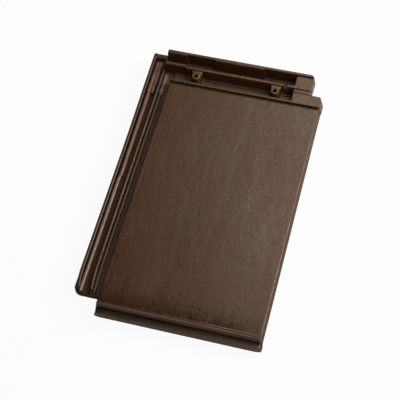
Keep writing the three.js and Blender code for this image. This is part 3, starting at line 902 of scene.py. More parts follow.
@dataclass
class Underside:
    """Hidden side: cover flange, hook ribs, nibs, stiffeners and the flat batten seat."""

    batten_plane: float = -22.0
    flange_roof: float = -7.5
    flange_foot: float = -14.0
    web: float = 205.4
    lock_web: float = 10.0
    plate: float = -13.5
    nib_bottom: float = -33.0
    nibs: tuple[Span, ...] = ((26.0, 60.0), (140.0, 174.0))
    nib_slope: float = 3.0
    nib_front: float = 442.5
    nib_thickness: float = 13.0
    nib_face: Span = (0.6, 0.2)  # its slope: in front of the face, behind it
    nib_back: Span = (4.0, 8.0)  # its slope: inside the thickness, behind it
    nib_rounds: Span = (1.2, 1.5)  # front, rear
    front_hook: Span = (7.9, 20.1)
    rear_hook: Span = (36.4, 41.6)
    hooks: Span = (10.0, 197.0)
    hook_slope: float = 2.0
    hook_round: float = 1.5
    hook_ends: float = 0.8
    line_depth: float = 9.0  # for the lines of the net at the hook ribs
    boss_gap: Span = (-12.9, 15.2)  # from the middle of a boss
    gap_slope: float = 0.5
    stiffeners: Places = (57.5, 105.0, 152.5)
    stiffener_half: float = 3.0
    stiffener_slope: float = 2.0
    stiffener_depth: float = 4.0
    stiffener_start: float = 59.4
    stiffener_run: float = 1.0
    inner_rib: Span = (228.2, 232.0)
    inner_rib_slope: float = 1.0
    inner_rib_round: float = 0.8
    inner_rib_ends: Span = (11.0, 381.0)
    inner_rib_runs: Span = (1.0, 3.0)  # how far its ends slope
    outer_rib: float = 246.4
    outer_margin: float = 3.0
    outer_slope: float = 1.0
    outer_rounds: Span = (0.8, 0.9)  # root, foot
    head_root: float = 407.0
    head_margin: float = 4.5
    head_slant: float = 4.0
    head_rounds: Span = (1.5, 2.0)  # root, foot
    nose_back: float = -3.1
    nose_foot: float = -25.0
    nose_slope: float = 0.4
    nose_rounds: Span = (1.0, 2.0)  # foot, root
    nose_cut: float = 0.3
    nose_end: float = 12.0
    margin: float = 5.0
    web_foot: float = 3.0
    web_overlap: float = 0.1
    web_slope: float = 2.0
    web_round: float = 1.5
    seat_slope: float = 0.8
    seat_rounds: Span = (1.2, 0.5)  # seat, step
    lock_rounds: Span = (1.0, 1.8)  # foot, root

    def hang(self, span: Span, spread: float, top: float, bottom: float, size: float = 1.2) -> Profile:
        """Profile of something that hangs down between two places, with sloping sides.

        Args:
            span: where its foot starts and ends.
            spread: how far each side slopes out towards its root.
            top: height of what it hangs from.
            bottom: height of its foot.
            size: rounding of its edges.

        Returns:
            The profile.
        """
        a, b = span
        return Profile((
            (a - spread - self.margin, top),
            (a - spread, top, size),
            (a, bottom, size),
            (b, bottom, size),
            (b + spread, top, size),
            (b + spread + self.margin, top),
        ))

    def web_profile(self) -> Profile:
        """Across: the plate's underside up to the roof of the cover flange.

        Returns:
            Its height over the place across.
        """
        return Profile((
            (self.web - self.web_foot, self.plate),
            (self.web, self.plate, self.web_round),
            (self.web + self.web_slope, self.flange_roof, self.web_round),
            (FAR, self.flange_roof),
        ))

    def head_web(self) -> Profile:
        """Across, under the head: the batten seat up to the roof of the cover flange.

        Returns:
            Its height over the place across.
        """
        seat_round, step_round = self.seat_rounds
        return Profile((
            (self.web - self.web_foot, self.batten_plane),
            (self.web - self.seat_slope, self.batten_plane, seat_round),
            (self.web, self.plate, step_round),
            (self.web + self.web_slope, self.flange_roof, self.web_round),
            (FAR, self.flange_roof),
        ))

    def lock_side(self) -> Profile:
        """Across: the wall that carries the lock.

        Returns:
            Its height over the place across.
        """
        foot_round, root_round = self.lock_rounds
        return Profile((
            (self.lock_web - self.margin, self.batten_plane),
            (self.lock_web, self.batten_plane, foot_round),
            (self.lock_web + self.web_slope, self.plate, root_round),
            (FAR, self.plate),
        ))

    def head_front(self) -> Profile:
        """Along: the slanted front of the thick head.

        Returns:
            Its height over the place up the roof.
        """
        root_round, foot_round = self.head_rounds
        foot = self.head_root + self.head_slant
        return Profile((
            (self.head_root - self.head_margin, self.plate),
            (self.head_root, self.plate, root_round),
            (foot, self.batten_plane, foot_round),
            (FAR, self.batten_plane),
        ))

    def nose_wall(self) -> Profile:
        """Along: the hanging wall of the nose, from its foot back up to the plate.

        Returns:
            Its height over the place up the roof.
        """
        foot_round, root_round = self.nose_rounds
        return Profile((
            (self.nose_back - self.margin, self.nose_foot),
            (self.nose_back - self.nose_slope, self.nose_foot, foot_round),
            (self.nose_back, self.plate, root_round),
            (FAR, self.plate),
        ))

    def outer_rib_profile(self) -> Profile:
        """Across: the outer rib of the cover flange.

        Returns:
            Its height over the place across.
        """
        root_round, foot_round = self.outer_rounds
        root = self.outer_rib - self.outer_slope
        return Profile((
            (root - self.outer_margin, 0.0),
            (root, self.flange_roof, root_round),
            (self.outer_rib, self.flange_foot, foot_round),
            (FAR, self.flange_foot),
        ))

    def inner_rib_profile(self) -> Profile:
        """Across: the inner rib of the cover flange.

        Returns:
            Its height over the place across.
        """
        return self.hang(
            self.inner_rib, self.inner_rib_slope, self.flange_roof, self.flange_foot, self.inner_rib_round
        )

    def inner_rib_depth(self) -> Profile:
        """Along: the inner rib's two steep ends."""
        (start, end), (before, behind) = self.inner_rib_ends, self.inner_rib_runs
        return Profile(((start - before, 0.0), (start, -DEEP), (end, -DEEP), (end + behind, 0.0)))

    def nib_profiles(self) -> list[Profile]:
        """Across: each nib between its two sides."""
        return [self.hang(nib, self.nib_slope, 0.0, self.nib_bottom) for nib in self.nibs]

    def nib_depth(self) -> Profile:
        """Along: the batten face and the sloping back of the nibs.

        Returns:
            Their height over the place up the roof.
        """
        front, rear = self.nib_front, self.nib_front + self.nib_thickness
        (before, inside), (toe, heel) = self.nib_face, self.nib_back
        front_round, rear_round = self.nib_rounds
        return Profile((
            (front - before, 0.0),
            (front + inside, self.nib_bottom, front_round),
            (rear - toe, self.nib_bottom, rear_round),
            (rear + heel, 0.0),
        ))

    def stiffener_profiles(self) -> list[Profile]:
        """Across: the low stiffening ribs under the plate.

        Returns:
            A profile for each rib.
        """
        bottom, half = self.plate - self.stiffener_depth, self.stiffener_half
        return [
            self.hang((x - half, x + half), self.stiffener_slope, self.plate, bottom)
            for x in self.stiffeners
        ]

    def hook_profiles(self) -> list[Profile]:
        """Along: the front and the rear hook rib.

        Returns:
            Their two profiles.
        """
        return [
            self.hang(hook, self.hook_slope, self.plate, self.nib_bottom, self.hook_round)
            for hook in (self.front_hook, self.rear_hook)
        ]

    def hook_lines(self) -> list[Profile]:
        """Along: where lines of the net stand at the roots and the feet of the hook ribs."""
        hooks = (self.front_hook, self.rear_hook)
        return [self.hang(hook, self.hook_slope, 0.0, -self.line_depth) for hook in hooks]

    def height(self, x: Array, y: Array, bosses: list[NailBoss]) -> Array:
        """Lowest of everything that hangs under the tile.

        Args:
            x: places across the roof.
            y: places up the roof.
            bosses: nail bosses of the tile below, which the front hook rib leaves free.

        Returns:
            The height of the underside at each place.
        """
        body = np.minimum(self.lock_side()(x), self.head_front()(y))
        beside_web = x > self.web - self.web_foot + self.web_overlap
        body = np.where(beside_web, self.web_profile()(x), body)
        under_head = np.maximum(self.head_web()(x), self.head_front()(y))
        body = np.where(beside_web & (y > self.head_root), under_head, body)
        inner = np.minimum(np.maximum(self.inner_rib_profile()(x), self.inner_rib_depth()(y)), 0.0)
        ribs = np.minimum(inner, self.outer_rib_profile()(x))
        beside_ribs = x > self.web + 2.0 * self.web_slope
        body = np.where(beside_ribs, np.minimum(body, ribs), body)
        body = np.minimum(body, np.where(x < self.web, self._hooks(x, y, bosses), 0.0))
        nose = self.nose_wall()(y)
        nose = np.where(x < self.lock_web - self.margin, np.minimum(nose, self.batten_plane), nose)
        beside_lock = np.minimum(nose, self.lock_side()(x))
        nose = np.where(y < self.nose_back - self.nose_cut, nose, beside_lock)
        return np.where(y < self.nose_end, np.minimum(nose, body), body)

    def _hooks(self, x: Array, y: Array, bosses: list[NailBoss]) -> Array:
        """Hook ribs, nibs and stiffeners; the front hook rib is open round the bosses.

        Args:
            x: places across the roof.
            y: places up the roof.
            bosses: nail bosses of the tile below.

        Returns:
            The height at each place.
        """
        low = self.nib_bottom
        span = self.hang(self.hooks, self.hook_ends, 0.0, low)(x)
        front, rear = (np.maximum(hook(y), span) for hook in self.hook_profiles())
        for boss in bosses:
            sides = (boss.x + self.boss_gap[0], boss.x + self.boss_gap[1])
            front = np.maximum(front, self.hang(sides, self.gap_slope, low, self.plate)(x))
        made = np.minimum(front, rear)
        depth = self.nib_depth()(y)
        for nib in self.nib_profiles():
            made = np.minimum(made, np.maximum(nib(x), depth))
        rise, run = self.stiffener_start, self.stiffener_run
        start = Profile(((rise - run, 0.0), (rise + run, -DEEP)))(y)
        for stiffener in self.stiffener_profiles():
            made = np.minimum(made, np.maximum(stiffener(x), start))
        return made


# ---------------------------------------------------------------- the tile as one closed mesh


@dataclass
class RoofTile:
    """The whole tile: builds the net of lines, lays both height surfaces on it and closes it."""

    plate: Plate = field(default_factory=Plate)
    nose: Nose = field(default_factory=Nose)
    lock: SideLock = field(default_factory=SideLock)
    head: Head = field(default_factory=Head)
    under: Underside = field(default_factory=Underside)
    bosses: list[NailBoss] = field(default_factory=lambda: [NailBoss(39.2), NailBoss(170.8)])
    flange_spread: float = 2.6
    shoulder_spread: float = 3.4
    shoulder_run: float = 1.0  # over which the spread grows at the head step
    shoulder_corner: float = 6.0
    shoulder_lines: Places = (2.5, 0.6, 7.4, 6.2, 4.8)  # inside the cover joint
    lip_wall: Span = (0.02, 7.0)  # spread, height
    lock_front: tuple[float, float, float] = (1.0, 0.05, 7.0)  # rounding, spread, height
    rear_wall: Span = (1.35, 32.0)  # spread, height
    side_wall: Span = (2.6, 17.5)
    corner_wall: tuple[float, float, float] = (1.5, 2.0, 15.0)  # rounding, spread, height
    rib_zone: Span = (1.0, 4.0)  # how far the notch reaches in front of the rib and behind it
    pad_blend: float = 1.2
    boss_blend: Span = (1.4, 2.2)  # fillet, and its growth at the root
    boss_growth: Span = (7.0, 1.0)  # in front of the root: where it starts and is full
    boss_zone: Span = (1.0, 0.5)  # how far curbs and bosses reach past the middle rib's front
    step_half: float = 0.5  # half the width of the step beside the set-back
    edge_fade: float = 1.0  # over which the plate's lock-side edge ends at the weir
    outer_part: Span = (-37.0, -35.4)  # where the spread of the lock fades out
    outline: tuple[Span, ...] = ((0.3, 0.5), (0.65, 0.6), (0.25, 0.5))  # how far out, over what run
    rear_outline: float = 0.05
    under_spread: float = 9.0
    nose_spread: float = 12.0
    corner_spread: float = 10.0
    rear_spread: float = 8.0
    rear_part: Span = (-18.8, -17.6)  # where the spread of the rear starts
    foot_rounds: tuple[float, float, float] = (1.2, 1.8, 1.0)  # front, rear, cover side
    foot_wall: Span = (0.1, 5.0)  # spread, height
    front_lines: Span = (0.5, 1.2)
    rear_lines: Span = (0.5, 1.3)
    side_line: float = 1.0  # inside the head's side
    face_lines: Places = (21.5, 29.0, 34.0, 50.0, 60.0)
    pad_front_lines: tuple[float, int] = (0.6, 14)  # spacing, number
    pad_side_lines: tuple[float, int] = (0.5, 8)  # spacing, number
    lip_end: float = -4.0  # nothing of the top hangs below the two foot heights
    lip_foot: float = -23.0
    rim_foot: float = -13.0
    lowest: float = -33.0
    sharp_angle: float = 52.0

    # ---- heights ----

    def face_profile(self, setback: float) -> Profile:
        """The face along the roof: nose, plate and head in one line."""
        return Profile(tuple(self.nose.profile() + self.head.along(setback)))

    def set_back(self, x: Array) -> Array:
        """Share of the set-back of the middle rib: 1 beside the lock, 0 further on."""
        width = self.head.setback_width
        return 1.0 - ramp(x, width - self.step_half, width + self.step_half)

    def top(self, x: Array, y: Array) -> Array:
        """Height of the upper surface: plate and head, with everything that stands in them.

        Args:
            x: places across the roof.
            y: places up the roof.

        Returns:
            The height at each place.
        """
        head, plate = self.head, self.plate
        body = self.face_profile(0.0)(y)
        body = body + (self.face_profile(head.setback)(y) - body) * self.set_back(x)
        pad = np.maximum(*(
            blend_min(head.pad_profile()(y), head.pad_ends(span)(x), self.pad_blend) for span in head.pads
        ))
        over_lock = np.maximum(head.over_lock(self.lock.floor)(y), pad) + head.over_lock_ends()(x)
        body = np.maximum(body, pad)
        body = np.maximum(body, head.landing()(y) + head.landing_wall()(x))
        before, after = self.rib_zone
        in_middle_rib = (y > head.middle_rib - head.weir - before) & (y < head.middle_rib_end + after)
        body = np.where(in_middle_rib, np.minimum(body, head.notch_profile()(x)), body)
        body = self._bosses(x, y, body)
        weir_foot = head.middle_rib + head.setback - head.weir
        beside_groove = 1.0 - ramp(y, weir_foot - self.edge_fade, weir_foot)
        body = body + plate.waviness(x, y) + plate.lock_side()(x) * beside_groove + self._rim_drop(x, y)
        body = np.where((x < 0.0) & (y > weir_foot), -FAR, body)
        foot = np.where(y < self.lip_end, self.lip_foot, self.rim_foot)
        body = np.where(x > 0.0, np.maximum(body, foot), body)
        lock = self.lock.height(x, y) + edge(*self.lock_front)(y - self.lock.foot)
        beside = np.maximum(np.maximum(body, over_lock + self._rear_drop(y)), lock)
        return np.where(x > 0.0, body, beside)

    def _bosses(self, x: Array, y: Array, body: Array) -> Array:
        """Raises the nail bosses and their curbs in the front channel.

        Args:
            x: places across the roof.
            y: places up the roof.
            body: height of the surface without them.

        Returns:
            The height with them.
        """
        head = self.head
        size, growth = self.boss_blend
        (early, late), (curb_zone, boss_zone) = self.boss_growth, self.boss_zone
        in_channel = (y > head.front_rib_end) & (y < head.middle_rib + curb_zone)
        for boss in self.bosses:
            body = np.where(in_channel, np.maximum(body, boss.curb_profile(head.floor)(x)), body)
            fillet = size + growth * ramp(y, boss.root - early, boss.root - late)
            raised = blend_max(body, boss.height(x, y), fillet)
            body = np.where(y < head.middle_rib + boss_zone, raised, body)
        return body

    def _rear_drop(self, y: Array) -> Array:
        """Rounding along the rear of the head."""
        return edge(self.head.rib_round, *self.rear_wall)(self.head.end - y)

    def _front(self, x: Array, y: Array) -> Array:
        """Distance behind the front edge, which draws back at its two ends."""
        nose = self.nose
        return y - nose.front - nose.draw_back(x, -nose.flare, self.plate.width + self.flange_spread)

    def _rim_drop(self, x: Array, y: Array) -> Array:
        """Rounding along the outline: nose, cover joint, shoulder, head side and rear.

        Args:
            x: places across the roof.
            y: places up the roof.

        Returns:
            What the height changes by at each place.
        """
        head = self.head
        run, fall = self.lip_wall
        made = edge(self.nose.lip_round, run, fall)(self._front(x, y) - run) + self._rear_drop(y)
        cover, side, shoulder = self.plate.width - x, head.side - x, head.shoulder_end - y
        made = made + self.plate.cover_side(self.flange_spread, -self.under.flange_foot)(cover)
        beyond = np.hypot(np.maximum(side, 0.0), np.maximum(shoulder, 0.0))
        outside = np.minimum(np.maximum(side, shoulder), 0.0)
        near = np.where(outside < 0.0, outside, beyond)
        corners = np.minimum(
            inset(cover, shoulder, self.shoulder_corner) + (shoulder < 0.0) * FAR,
            inset(side, head.end - y, head.rear_corner) + (shoulder > 0.0) * FAR,
        )
        return made + np.minimum(
            edge(head.rib_round, *self.side_wall)(near), edge(*self.corner_wall)(corners)
        )

    # ---- the net ----

    def net(self) -> tuple[Array, Array]:
        """Works out the places of the lines along both directions."""
        return self._across().lines(), self._along().lines()

    def _across(self) -> LineNet:
        """Chooses the lines across the roof.

        Returns:
            The net across the roof, with its stations.
        """
        head, lock, under, width = self.head, self.lock, self.under, self.plate.width
        net = LineNet(lock.outer, width)
        net.keep(0.0, head.side, lock.outer + lock.corner, width - self.shoulder_corner)
        net.keep(head.side - head.rear_corner, lock.outer + lock.rear_corner)
        net.add(*(section for section, _, _ in lock.pieces()), head.over_lock_ends())
        net.add(self.plate.lock_side(), head.landing_wall(), head.notch_profile())
        net.add(*(head.pad_ends(span) for span in head.pads), under.web_profile(), under.lock_side())
        net.add(*under.nib_profiles(), *under.stiffener_profiles(), under.inner_rib_profile())
        net.stations += [head.setback_width - self.step_half, head.setback_width + self.step_half]
        net.stations += [head.side - self.side_line, *(width - inside for inside in self.shoulder_lines)]
        for boss in self.bosses:
            net.keep(*(boss.x + side * ring for ring in boss.rings() for side in (-1, 1)))
            net.stations += [boss.x + side * (boss.hole + r) for r in boss.circles for side in (-1, 1)]
            net.add(boss.curb_profile(head.floor))
        step, count = self.pad_side_lines
        net.stations += [right + step * k for _, right in head.pads for k in range(count)]
        net.stations += [left - step * k for left, _ in head.pads[1:] for k in range(count)]
        return net

    def _along(self) -> LineNet:
        """Chooses the lines along the roof.

        Returns:
            The net up the roof, with its stations.
        """
        head, lock, under, nose, boss = self.head, self.lock, self.under, self.nose, self.bosses[0]
        net = LineNet(nose.front, head.end)
        net.keep(lock.foot, lock.foot + lock.corner, head.shoulder_end)
        net.keep(head.shoulder_end - self.shoulder_corner, head.end - head.rear_corner)
        net.keep(lock.head - lock.rear_corner)
        net.keep(*(boss.y + side * ring for ring in boss.rings() for side in (-1, 1)))
        net.add(self.face_profile(0.0), head.pad_profile(), head.landing(), lock.rim_profile())
        net.add(lock.bar_reach(), lock.key_reach(lock.broad_end), under.nib_depth(), under.head_front())
        net.add(*under.hook_lines())
        net.stations += [under.nose_back, *self.face_lines, *(nose.front + r for r in self.front_lines)]
        net.stations += [lock.jog_at - lock.jog_half, lock.jog_at + lock.jog_half]
        net.stations += [head.end - r for r in self.rear_lines]
        net.stations += [boss.y - boss.hole - r for r in boss.circles]
        net.stations += [boss.y + r for r in boss.behind]
        step, count = self.pad_front_lines
        net.stations += [head.pad_foot + step * k for k in range(count)]
        return net

    def _lean_out(self, u: Array, v: Array) -> tuple[Array, Array]:
        """Places of the upper surface.

        They follow the lock's spread, the set-back rib, the holes, the round corners and the
        drawn-back nose.

        Args:
            u: places of the lines across the roof.
            v: places of the lines up the roof.

        Returns:
            The places of the surface across and up the roof.
        """
        head, lock, nose, width = self.head, self.lock, self.nose, self.plate.width
        x = u + lock.spread(v) * (1.0 - ramp(u, *self.outer_part))
        y = v + head.setback_shift(v) * self.set_back(u)
        for corner, size, inwards in (
            ((lock.outer, lock.foot), lock.corner, (1.0, 1.0)),
            ((width, head.shoulder_end), self.shoulder_corner, (-1.0, -1.0)),
            ((lock.outer - lock.flare, lock.head), lock.rear_corner, (1.0, -1.0)),
            ((head.side, head.end), head.rear_corner, (-1.0, -1.0)),
        ):
            x, y = self._round_corner(x, y, corner, size, inwards)
        for boss in self.bosses:
            x, y = boss.bend_lines(x, y)
        drawn = nose.draw_back(x, -nose.flare, width + self.flange_spread)
        return x, y + drawn * (1.0 - ramp(y, nose.front, -nose.bead_edge - nose.steep_run))

    @staticmethod
    def _round_corner(x: Array, y: Array, corner: Span, size: float, inwards: Span) -> tuple[Array, Array]:
        """Turns a square plan corner into a quarter circle.

        Args:
            x: places across.
            y: places along.
            corner: the corner's place across and along.
            size: radius of the quarter circle.
            inwards: 1 where the tile lies at higher x than the corner, otherwise -1, and the
                same for y.

        Returns:
            The new places.
        """
        (cx, cy), (sx, sy) = corner, inwards
        a, b = (cx + sx * size - x) * sx, (cy + sy * size - y) * sy
        inside = (a > 0.0) & (b > 0.0) & (a <= size + 1e-6) & (b <= size + 1e-6)
        ra, rb = round_square(a, b)
        return np.where(inside, x - (ra - a) * sx, x), np.where(inside, y - (rb - b) * sy, y)

    def upper(self, u: Array, v: Array) -> Array:
        """Points of the upper surface, with its outline just outside each rounded edge.

        Args:
            u: places of the lines across the roof.
            v: places of the lines up the roof.

        Returns:
            The points, in millimetres.
        """
        head, width = self.head, self.plate.width
        (left, left_run), (right, right_run), (side, side_run) = self.outline
        x, y = self._lean_out(u, v)
        x = x - left * (u <= 0.0) * (u > -left_run) * (v < self.lock.foot)
        x = x + right * ramp(u, width - right_run, width)
        at_head_side = (u <= head.side) * (v > head.shoulder_end)
        x = x + side * ramp(u, head.side - side_run, head.side) * at_head_side
        y = y + self.rear_outline * (v >= head.end) * (u > -head.overhang)
        return np.stack([x, y, self.top(x, y)], axis=-1)

    def lower(self, u: Array, v: Array) -> Array:
        """Points of the underside: the outline spreads on the way down.

        Args:
            u: places of the lines across the roof.
            v: places of the lines up the roof.

        Returns:
            The points, in millimetres.
        """
        head, lock, under, width = self.head, self.lock, self.under, self.plate.width
        x, y = self._lean_out(u, v)
        at_nose = 1.0 - ramp(v, lock.foot, lock.foot + self.nose_spread)
        x = x - self.nose.flare * np.clip(1.0 - np.abs(u) / self.corner_spread, 0.0, 1.0) * at_nose
        widening = ramp(v, head.start, head.start + self.shoulder_run)
        widening = (self.shoulder_spread - self.flange_spread) * widening
        x = x + (self.flange_spread + widening) * smooth(ramp(u, width - self.under_spread, width))
        at_head = ramp(v, head.shoulder_end - self.corner_spread, head.shoulder_end)
        near_side = np.clip(1.0 - np.abs(u - head.side) / self.corner_spread, 0.0, 1.0)
        x = x + self.flange_spread * at_head * near_side
        at_rear = ramp(v, head.end - self.rear_spread, head.end) * ramp(u, *self.rear_part)
        y = y + self.rear_wall[0] * at_rear
        z = under.height(x, y, self.bosses)
        return np.stack([x, y, z + self._foot_lift(x, y, u, v)], axis=-1)

    def _foot_lift(self, x: Array, y: Array, u: Array, v: Array) -> Array:
        """Rounds the lower edges along the outline, apart from the rear of the lock.

        Args:
            x: places across the roof.
            y: places up the roof.
            u: places of the lines across the roof.
            v: places of the lines up the roof.

        Returns:
            What the height of the underside changes by at each place.
        """
        head = self.head
        behind_lock = (u < -head.overhang) * FAR
        inside = (self._front(x, y), head.end - v, self.plate.width - u)
        front, rear, side = (np.maximum(distance, 0.0) for distance in inside)
        front_edge, rear_edge, side_edge = (edge(size, *self.foot_wall) for size in self.foot_rounds)
        return -front_edge(front) - rear_edge(rear + behind_lock) - side_edge(side)

    # ---- the mesh ----

    def kept_cells(self, us: Array, vs: Array) -> Mask:
        """Says which cells belong to the tile, in the net of every second line.

        Args:
            us: places of all lines across the roof.
            vs: places of all lines up the roof.

        Returns:
            True for each cell of the tile.
        """
        us, vs = us[::2], vs[::2]
        u, v = np.meshgrid((us[1:] + us[:-1]) / 2, (vs[1:] + vs[:-1]) / 2, indexing="ij")
        missing = ((u < 0.0) & (v < self.lock.foot)) | ((u > self.head.side) & (v > self.head.shoulder_end))
        for boss in self.bosses:
            missing |= np.maximum(np.abs(u - boss.x), np.abs(v - boss.y)) < boss.hole
        return ~missing

    def mesh(self, name: str, origin: Array) -> bpy.types.Mesh:
        """Builds the closed mesh in the frame.

        Args:
            name: name of the mesh.
            origin: where the tile's own zero point lies in the frame, in metres.

        Returns:
            The mesh, smooth except at its few sharp edges.
        """
        us, vs = self.net()
        points, faces = Shell(us, vs, self.kept_cells(us, vs), self.upper, self.lower).build()
        points[:, 2] = np.maximum(points[:, 2], self.lowest)
        mesh = bpy.data.meshes.new(name)
        mesh.from_pydata((points * MILLIMETRE + origin).tolist(), [], faces)
        mesh.validate()
        mesh.shade_smooth()
        mesh.set_sharp_from_angle(angle=math.radians(self.sharp_angle))
        log.info("%s: net %d x %d, %d points, %d faces", name, len(us), len(vs), len(points), len(faces))
        return mesh


@dataclass
class Shell:
    """Two surfaces over one net, closed by walls along the outline and round every hole.

    The upper surface uses every line and the lower one every second line. Walls go down in two
    rings, and their last row joins two upper steps to one lower step.
    """

    us: Array
    vs: Array
    keep: Mask
    upper: Surface
    lower: Surface
    rings: Places = (0.5, 0.93)  # shares of the way down

    def build(self) -> tuple[Array, list[tuple[int, ...]]]:
        """Makes both surfaces and the walls between them.

        Returns:
            The points, and each face's point numbers.
        """
        u, v = np.meshgrid(self.us, self.vs, indexing="ij")
        top, low = self.upper(u, v), self.lower(u, v)
        top_id, low_id = np.arange(u.size).reshape(u.shape), np.full(u.shape, -1)
        coarse = low_id[::2, ::2]
        coarse[:] = u.size + np.arange(coarse.size).reshape(coarse.shape)
        fine_keep = np.repeat(np.repeat(self.keep, 2, axis=0), 2, axis=1)
        quads = [self._quads(top_id, fine_keep), self._quads(coarse, self.keep)[:, ::-1]]
        points = [top.reshape(-1, 3), low[::2, ::2].reshape(-1, 3)]
        starts, ends = self._outline()
        a, m, b = (self._flat(at, len(self.vs)) for at in (starts, (starts + ends) // 2, ends))
        used = np.unique(np.concatenate([a, m]))
        high, deep = points[0][used], low.reshape(-1, 3)[used]
        above, count = top_id.ravel(), u.size + coarse.size
        for share in self.rings:
            points.append(high + (deep - high) * share)
            below = np.full(u.size, -1)
            below[used] = count + np.arange(len(used))
            quads.append(np.stack([below[a], below[m], above[m], above[a]], axis=1))
            quads.append(np.stack([below[m], below[b], above[b], above[m]], axis=1))
            above, count = below, count + len(used)
        foot = low_id.ravel()
        triangles = np.concatenate([
            np.stack([foot[a], above[m], above[a]], axis=1),
            np.stack([foot[a], foot[b], above[m]], axis=1),
            np.stack([foot[b], above[b], above[m]], axis=1),
        ])
        return self._renumbered(np.concatenate(points), [np.concatenate(quads), triangles])

    @staticmethod
    def _renumbered(points: Array, faces: list[Numbers]) -> tuple[Array, list[tuple[int, ...]]]:
        """Leaves out the points that no face uses and numbers the rest anew.

        Args:
            points: all points.
            faces: their numbers at the corners of the faces.

        Returns:
            The points in use, and the new point numbers of each face.
        """
        wanted = np.unique(np.concatenate([corners.ravel() for corners in faces]))
        number = np.full(len(points), -1)
        number[wanted] = np.arange(len(wanted))
        return points[wanted], [tuple(face) for corners in faces for face in number[corners].tolist()]

    @staticmethod
    def _quads(ids: Numbers, keep: Mask) -> Numbers:
        """Lists the kept cells' corners, counter-clockwise seen from above."""
        cells = np.stack([ids[:-1, :-1], ids[1:, :-1], ids[1:, 1:], ids[:-1, 1:]], axis=-1)
        return cells[keep]

    @staticmethod
    def _flat(at: Numbers, width: int) -> Numbers:
        """Turns pairs of line numbers into point numbers."""
        return at[:, 0] * width + at[:, 1]

    def _outline(self) -> tuple[Numbers, Numbers]:
        """Finds the net's edges with a kept cell on their left and none on their right.

        Returns:
            Line numbers (in the finer net) of each edge's start and of its end.
        """
        framed = np.pad(self.keep, 1)
        here, left, below = framed[1:, 1:], framed[:-1, 1:], framed[1:, :-1]
        starts, ends = [], []
        for first, second, flip, step in (
            (here, below, False, (1, 0)), (below, here, True, (1, 0)),
            (left, here, False, (0, 1)), (here, left, True, (0, 1)),
        ):
            at = np.argwhere(first & ~second)
            start, end = at, at + np.array(step)
            starts.append(end if flip else start)
            ends.append(start if flip else end)
        return 2 * np.concatenate(starts), 2 * np.concatenate(ends)


# ---------------------------------------------------------------- shader maths


@dataclass(frozen=True)
class Signal:
    """A value that varies over the surface: one output socket, with arithmetic that adds nodes."""

    nodes: "Nodes"
    socket: bpy.types.NodeSocket

    def _math(self, kind: str, first: "Value", second: "Value") -> "Signal":
        """Adds one Math node."""
        return self.nodes.add("ShaderNodeMath", {"operation": kind}, {0: first, 1: second})

    def __add__(self, other: "Value") -> "Signal":
        """Adds."""
        return self._math("ADD", self, other)

    def __radd__(self, other: "Value") -> "Signal":
        """Adds, from the right."""
        return self._math("ADD", other, self)

    def __sub__(self, other: "Value") -> "Signal":
        """Subtracts."""
        return self._math("SUBTRACT", self, other)

    def __rsub__(self, other: "Value") -> "Signal":
        """Subtracts this from a number."""
        return self._math("SUBTRACT", other, self)

    def __mul__(self, other: "Value") -> "Signal":
        """Multiplies."""
        return self._math("MULTIPLY", self, other)

    def __rmul__(self, other: "Value") -> "Signal":
        """Multiplies, from the right."""
        return self._math("MULTIPLY", other, self)

    def clipped(self, start: float, end: float) -> "Signal":
        """Goes from 0 at start to 1 at end and stays between them.

        Args:
            start: the value that gives 0.
            end: the value that gives 1.

        Returns:
            The share.
        """
        return self.nodes.add(
            "ShaderNodeMapRange", {"clamp": True},
            {"Value": self, "From Min": start, "From Max": end},
        )


Value = Signal | float


@dataclass(frozen=True)
class Nodes:
    """Adds shader nodes to one tree."""

    tree: bpy.types.NodeTree

    def add(self, kind: str, settings: dict[str, object], inputs: dict[int | str, object],
            output: int | str = 0) -> Signal:
        """Adds a node.

        Args:
            kind: type of the node.
            settings: its settings, set before its sockets.
            inputs: value or signal for each named or numbered socket.
            output: which output to give back.

        Returns:
            The chosen output as a signal.
        """
        return Signal(self, self._made(kind, settings, inputs).outputs[output])

    def end(self, kind: str, surface: Signal) -> None:
        """Adds the output node of the tree and joins the surface to it."""
        self._made(kind, {}, {"Surface": surface})

    def _made(self, kind: str, settings: dict[str, object],
              inputs: dict[int | str, object]) -> bpy.types.Node:
        """Makes one node, with its settings first and then its values and links.

        Args:
            kind: type of the node.
            settings: its settings.
            inputs: value or signal for each named or numbered socket.

        Returns:
            The node.
        """
        node = self.tree.nodes.new(kind)
        for name, value in settings.items():
            setattr(node, name, value)
        for name, value in inputs.items():
            socket = node.inputs[name]
            if isinstance(value, Signal):
                self.tree.links.new(value.socket, socket)
            else:
                socket.default_value = value
        return node

    def noise(self, at: Signal, scale: float, detail: float = 2.0, roughness: float = 0.5) -> Signal:
        """Adds a noise texture.

        Args:
            at: object coordinates.
            scale: waves per metre.
            detail: how many finer waves are added.
            roughness: how strong those are.

        Returns:
            A signal that varies round one half.
        """
        return self.add(
            "ShaderNodeTexNoise", {"noise_dimensions": "3D"},
            {"Vector": at, "Scale": scale, "Detail": detail, "Roughness": roughness}, "Fac",
        )

    def mix(self, share: "Value", first: object, second: object) -> Signal:
        """Mixes two colours.

        Args:
            share: share of the second colour.
            first: the first colour.
            second: the second colour.

        Returns:
            The mixed colour.
        """
        return self.add(
            "ShaderNodeMix", {"data_type": "RGBA"}, {0: share, 6: first, 7: second}, 2,
        )


def cleared(owner: bpy.types.Material | bpy.types.World) -> Nodes:
    """Turns on the nodes of a material or a world and empties its tree.

    Args:
        owner: the material or the world.

    Returns:
        Its empty tree.
    """
    owner.use_nodes = True
    owner.node_tree.nodes.clear()
    return Nodes(owner.node_tree)


# ---------------------------------------------------------------- finish


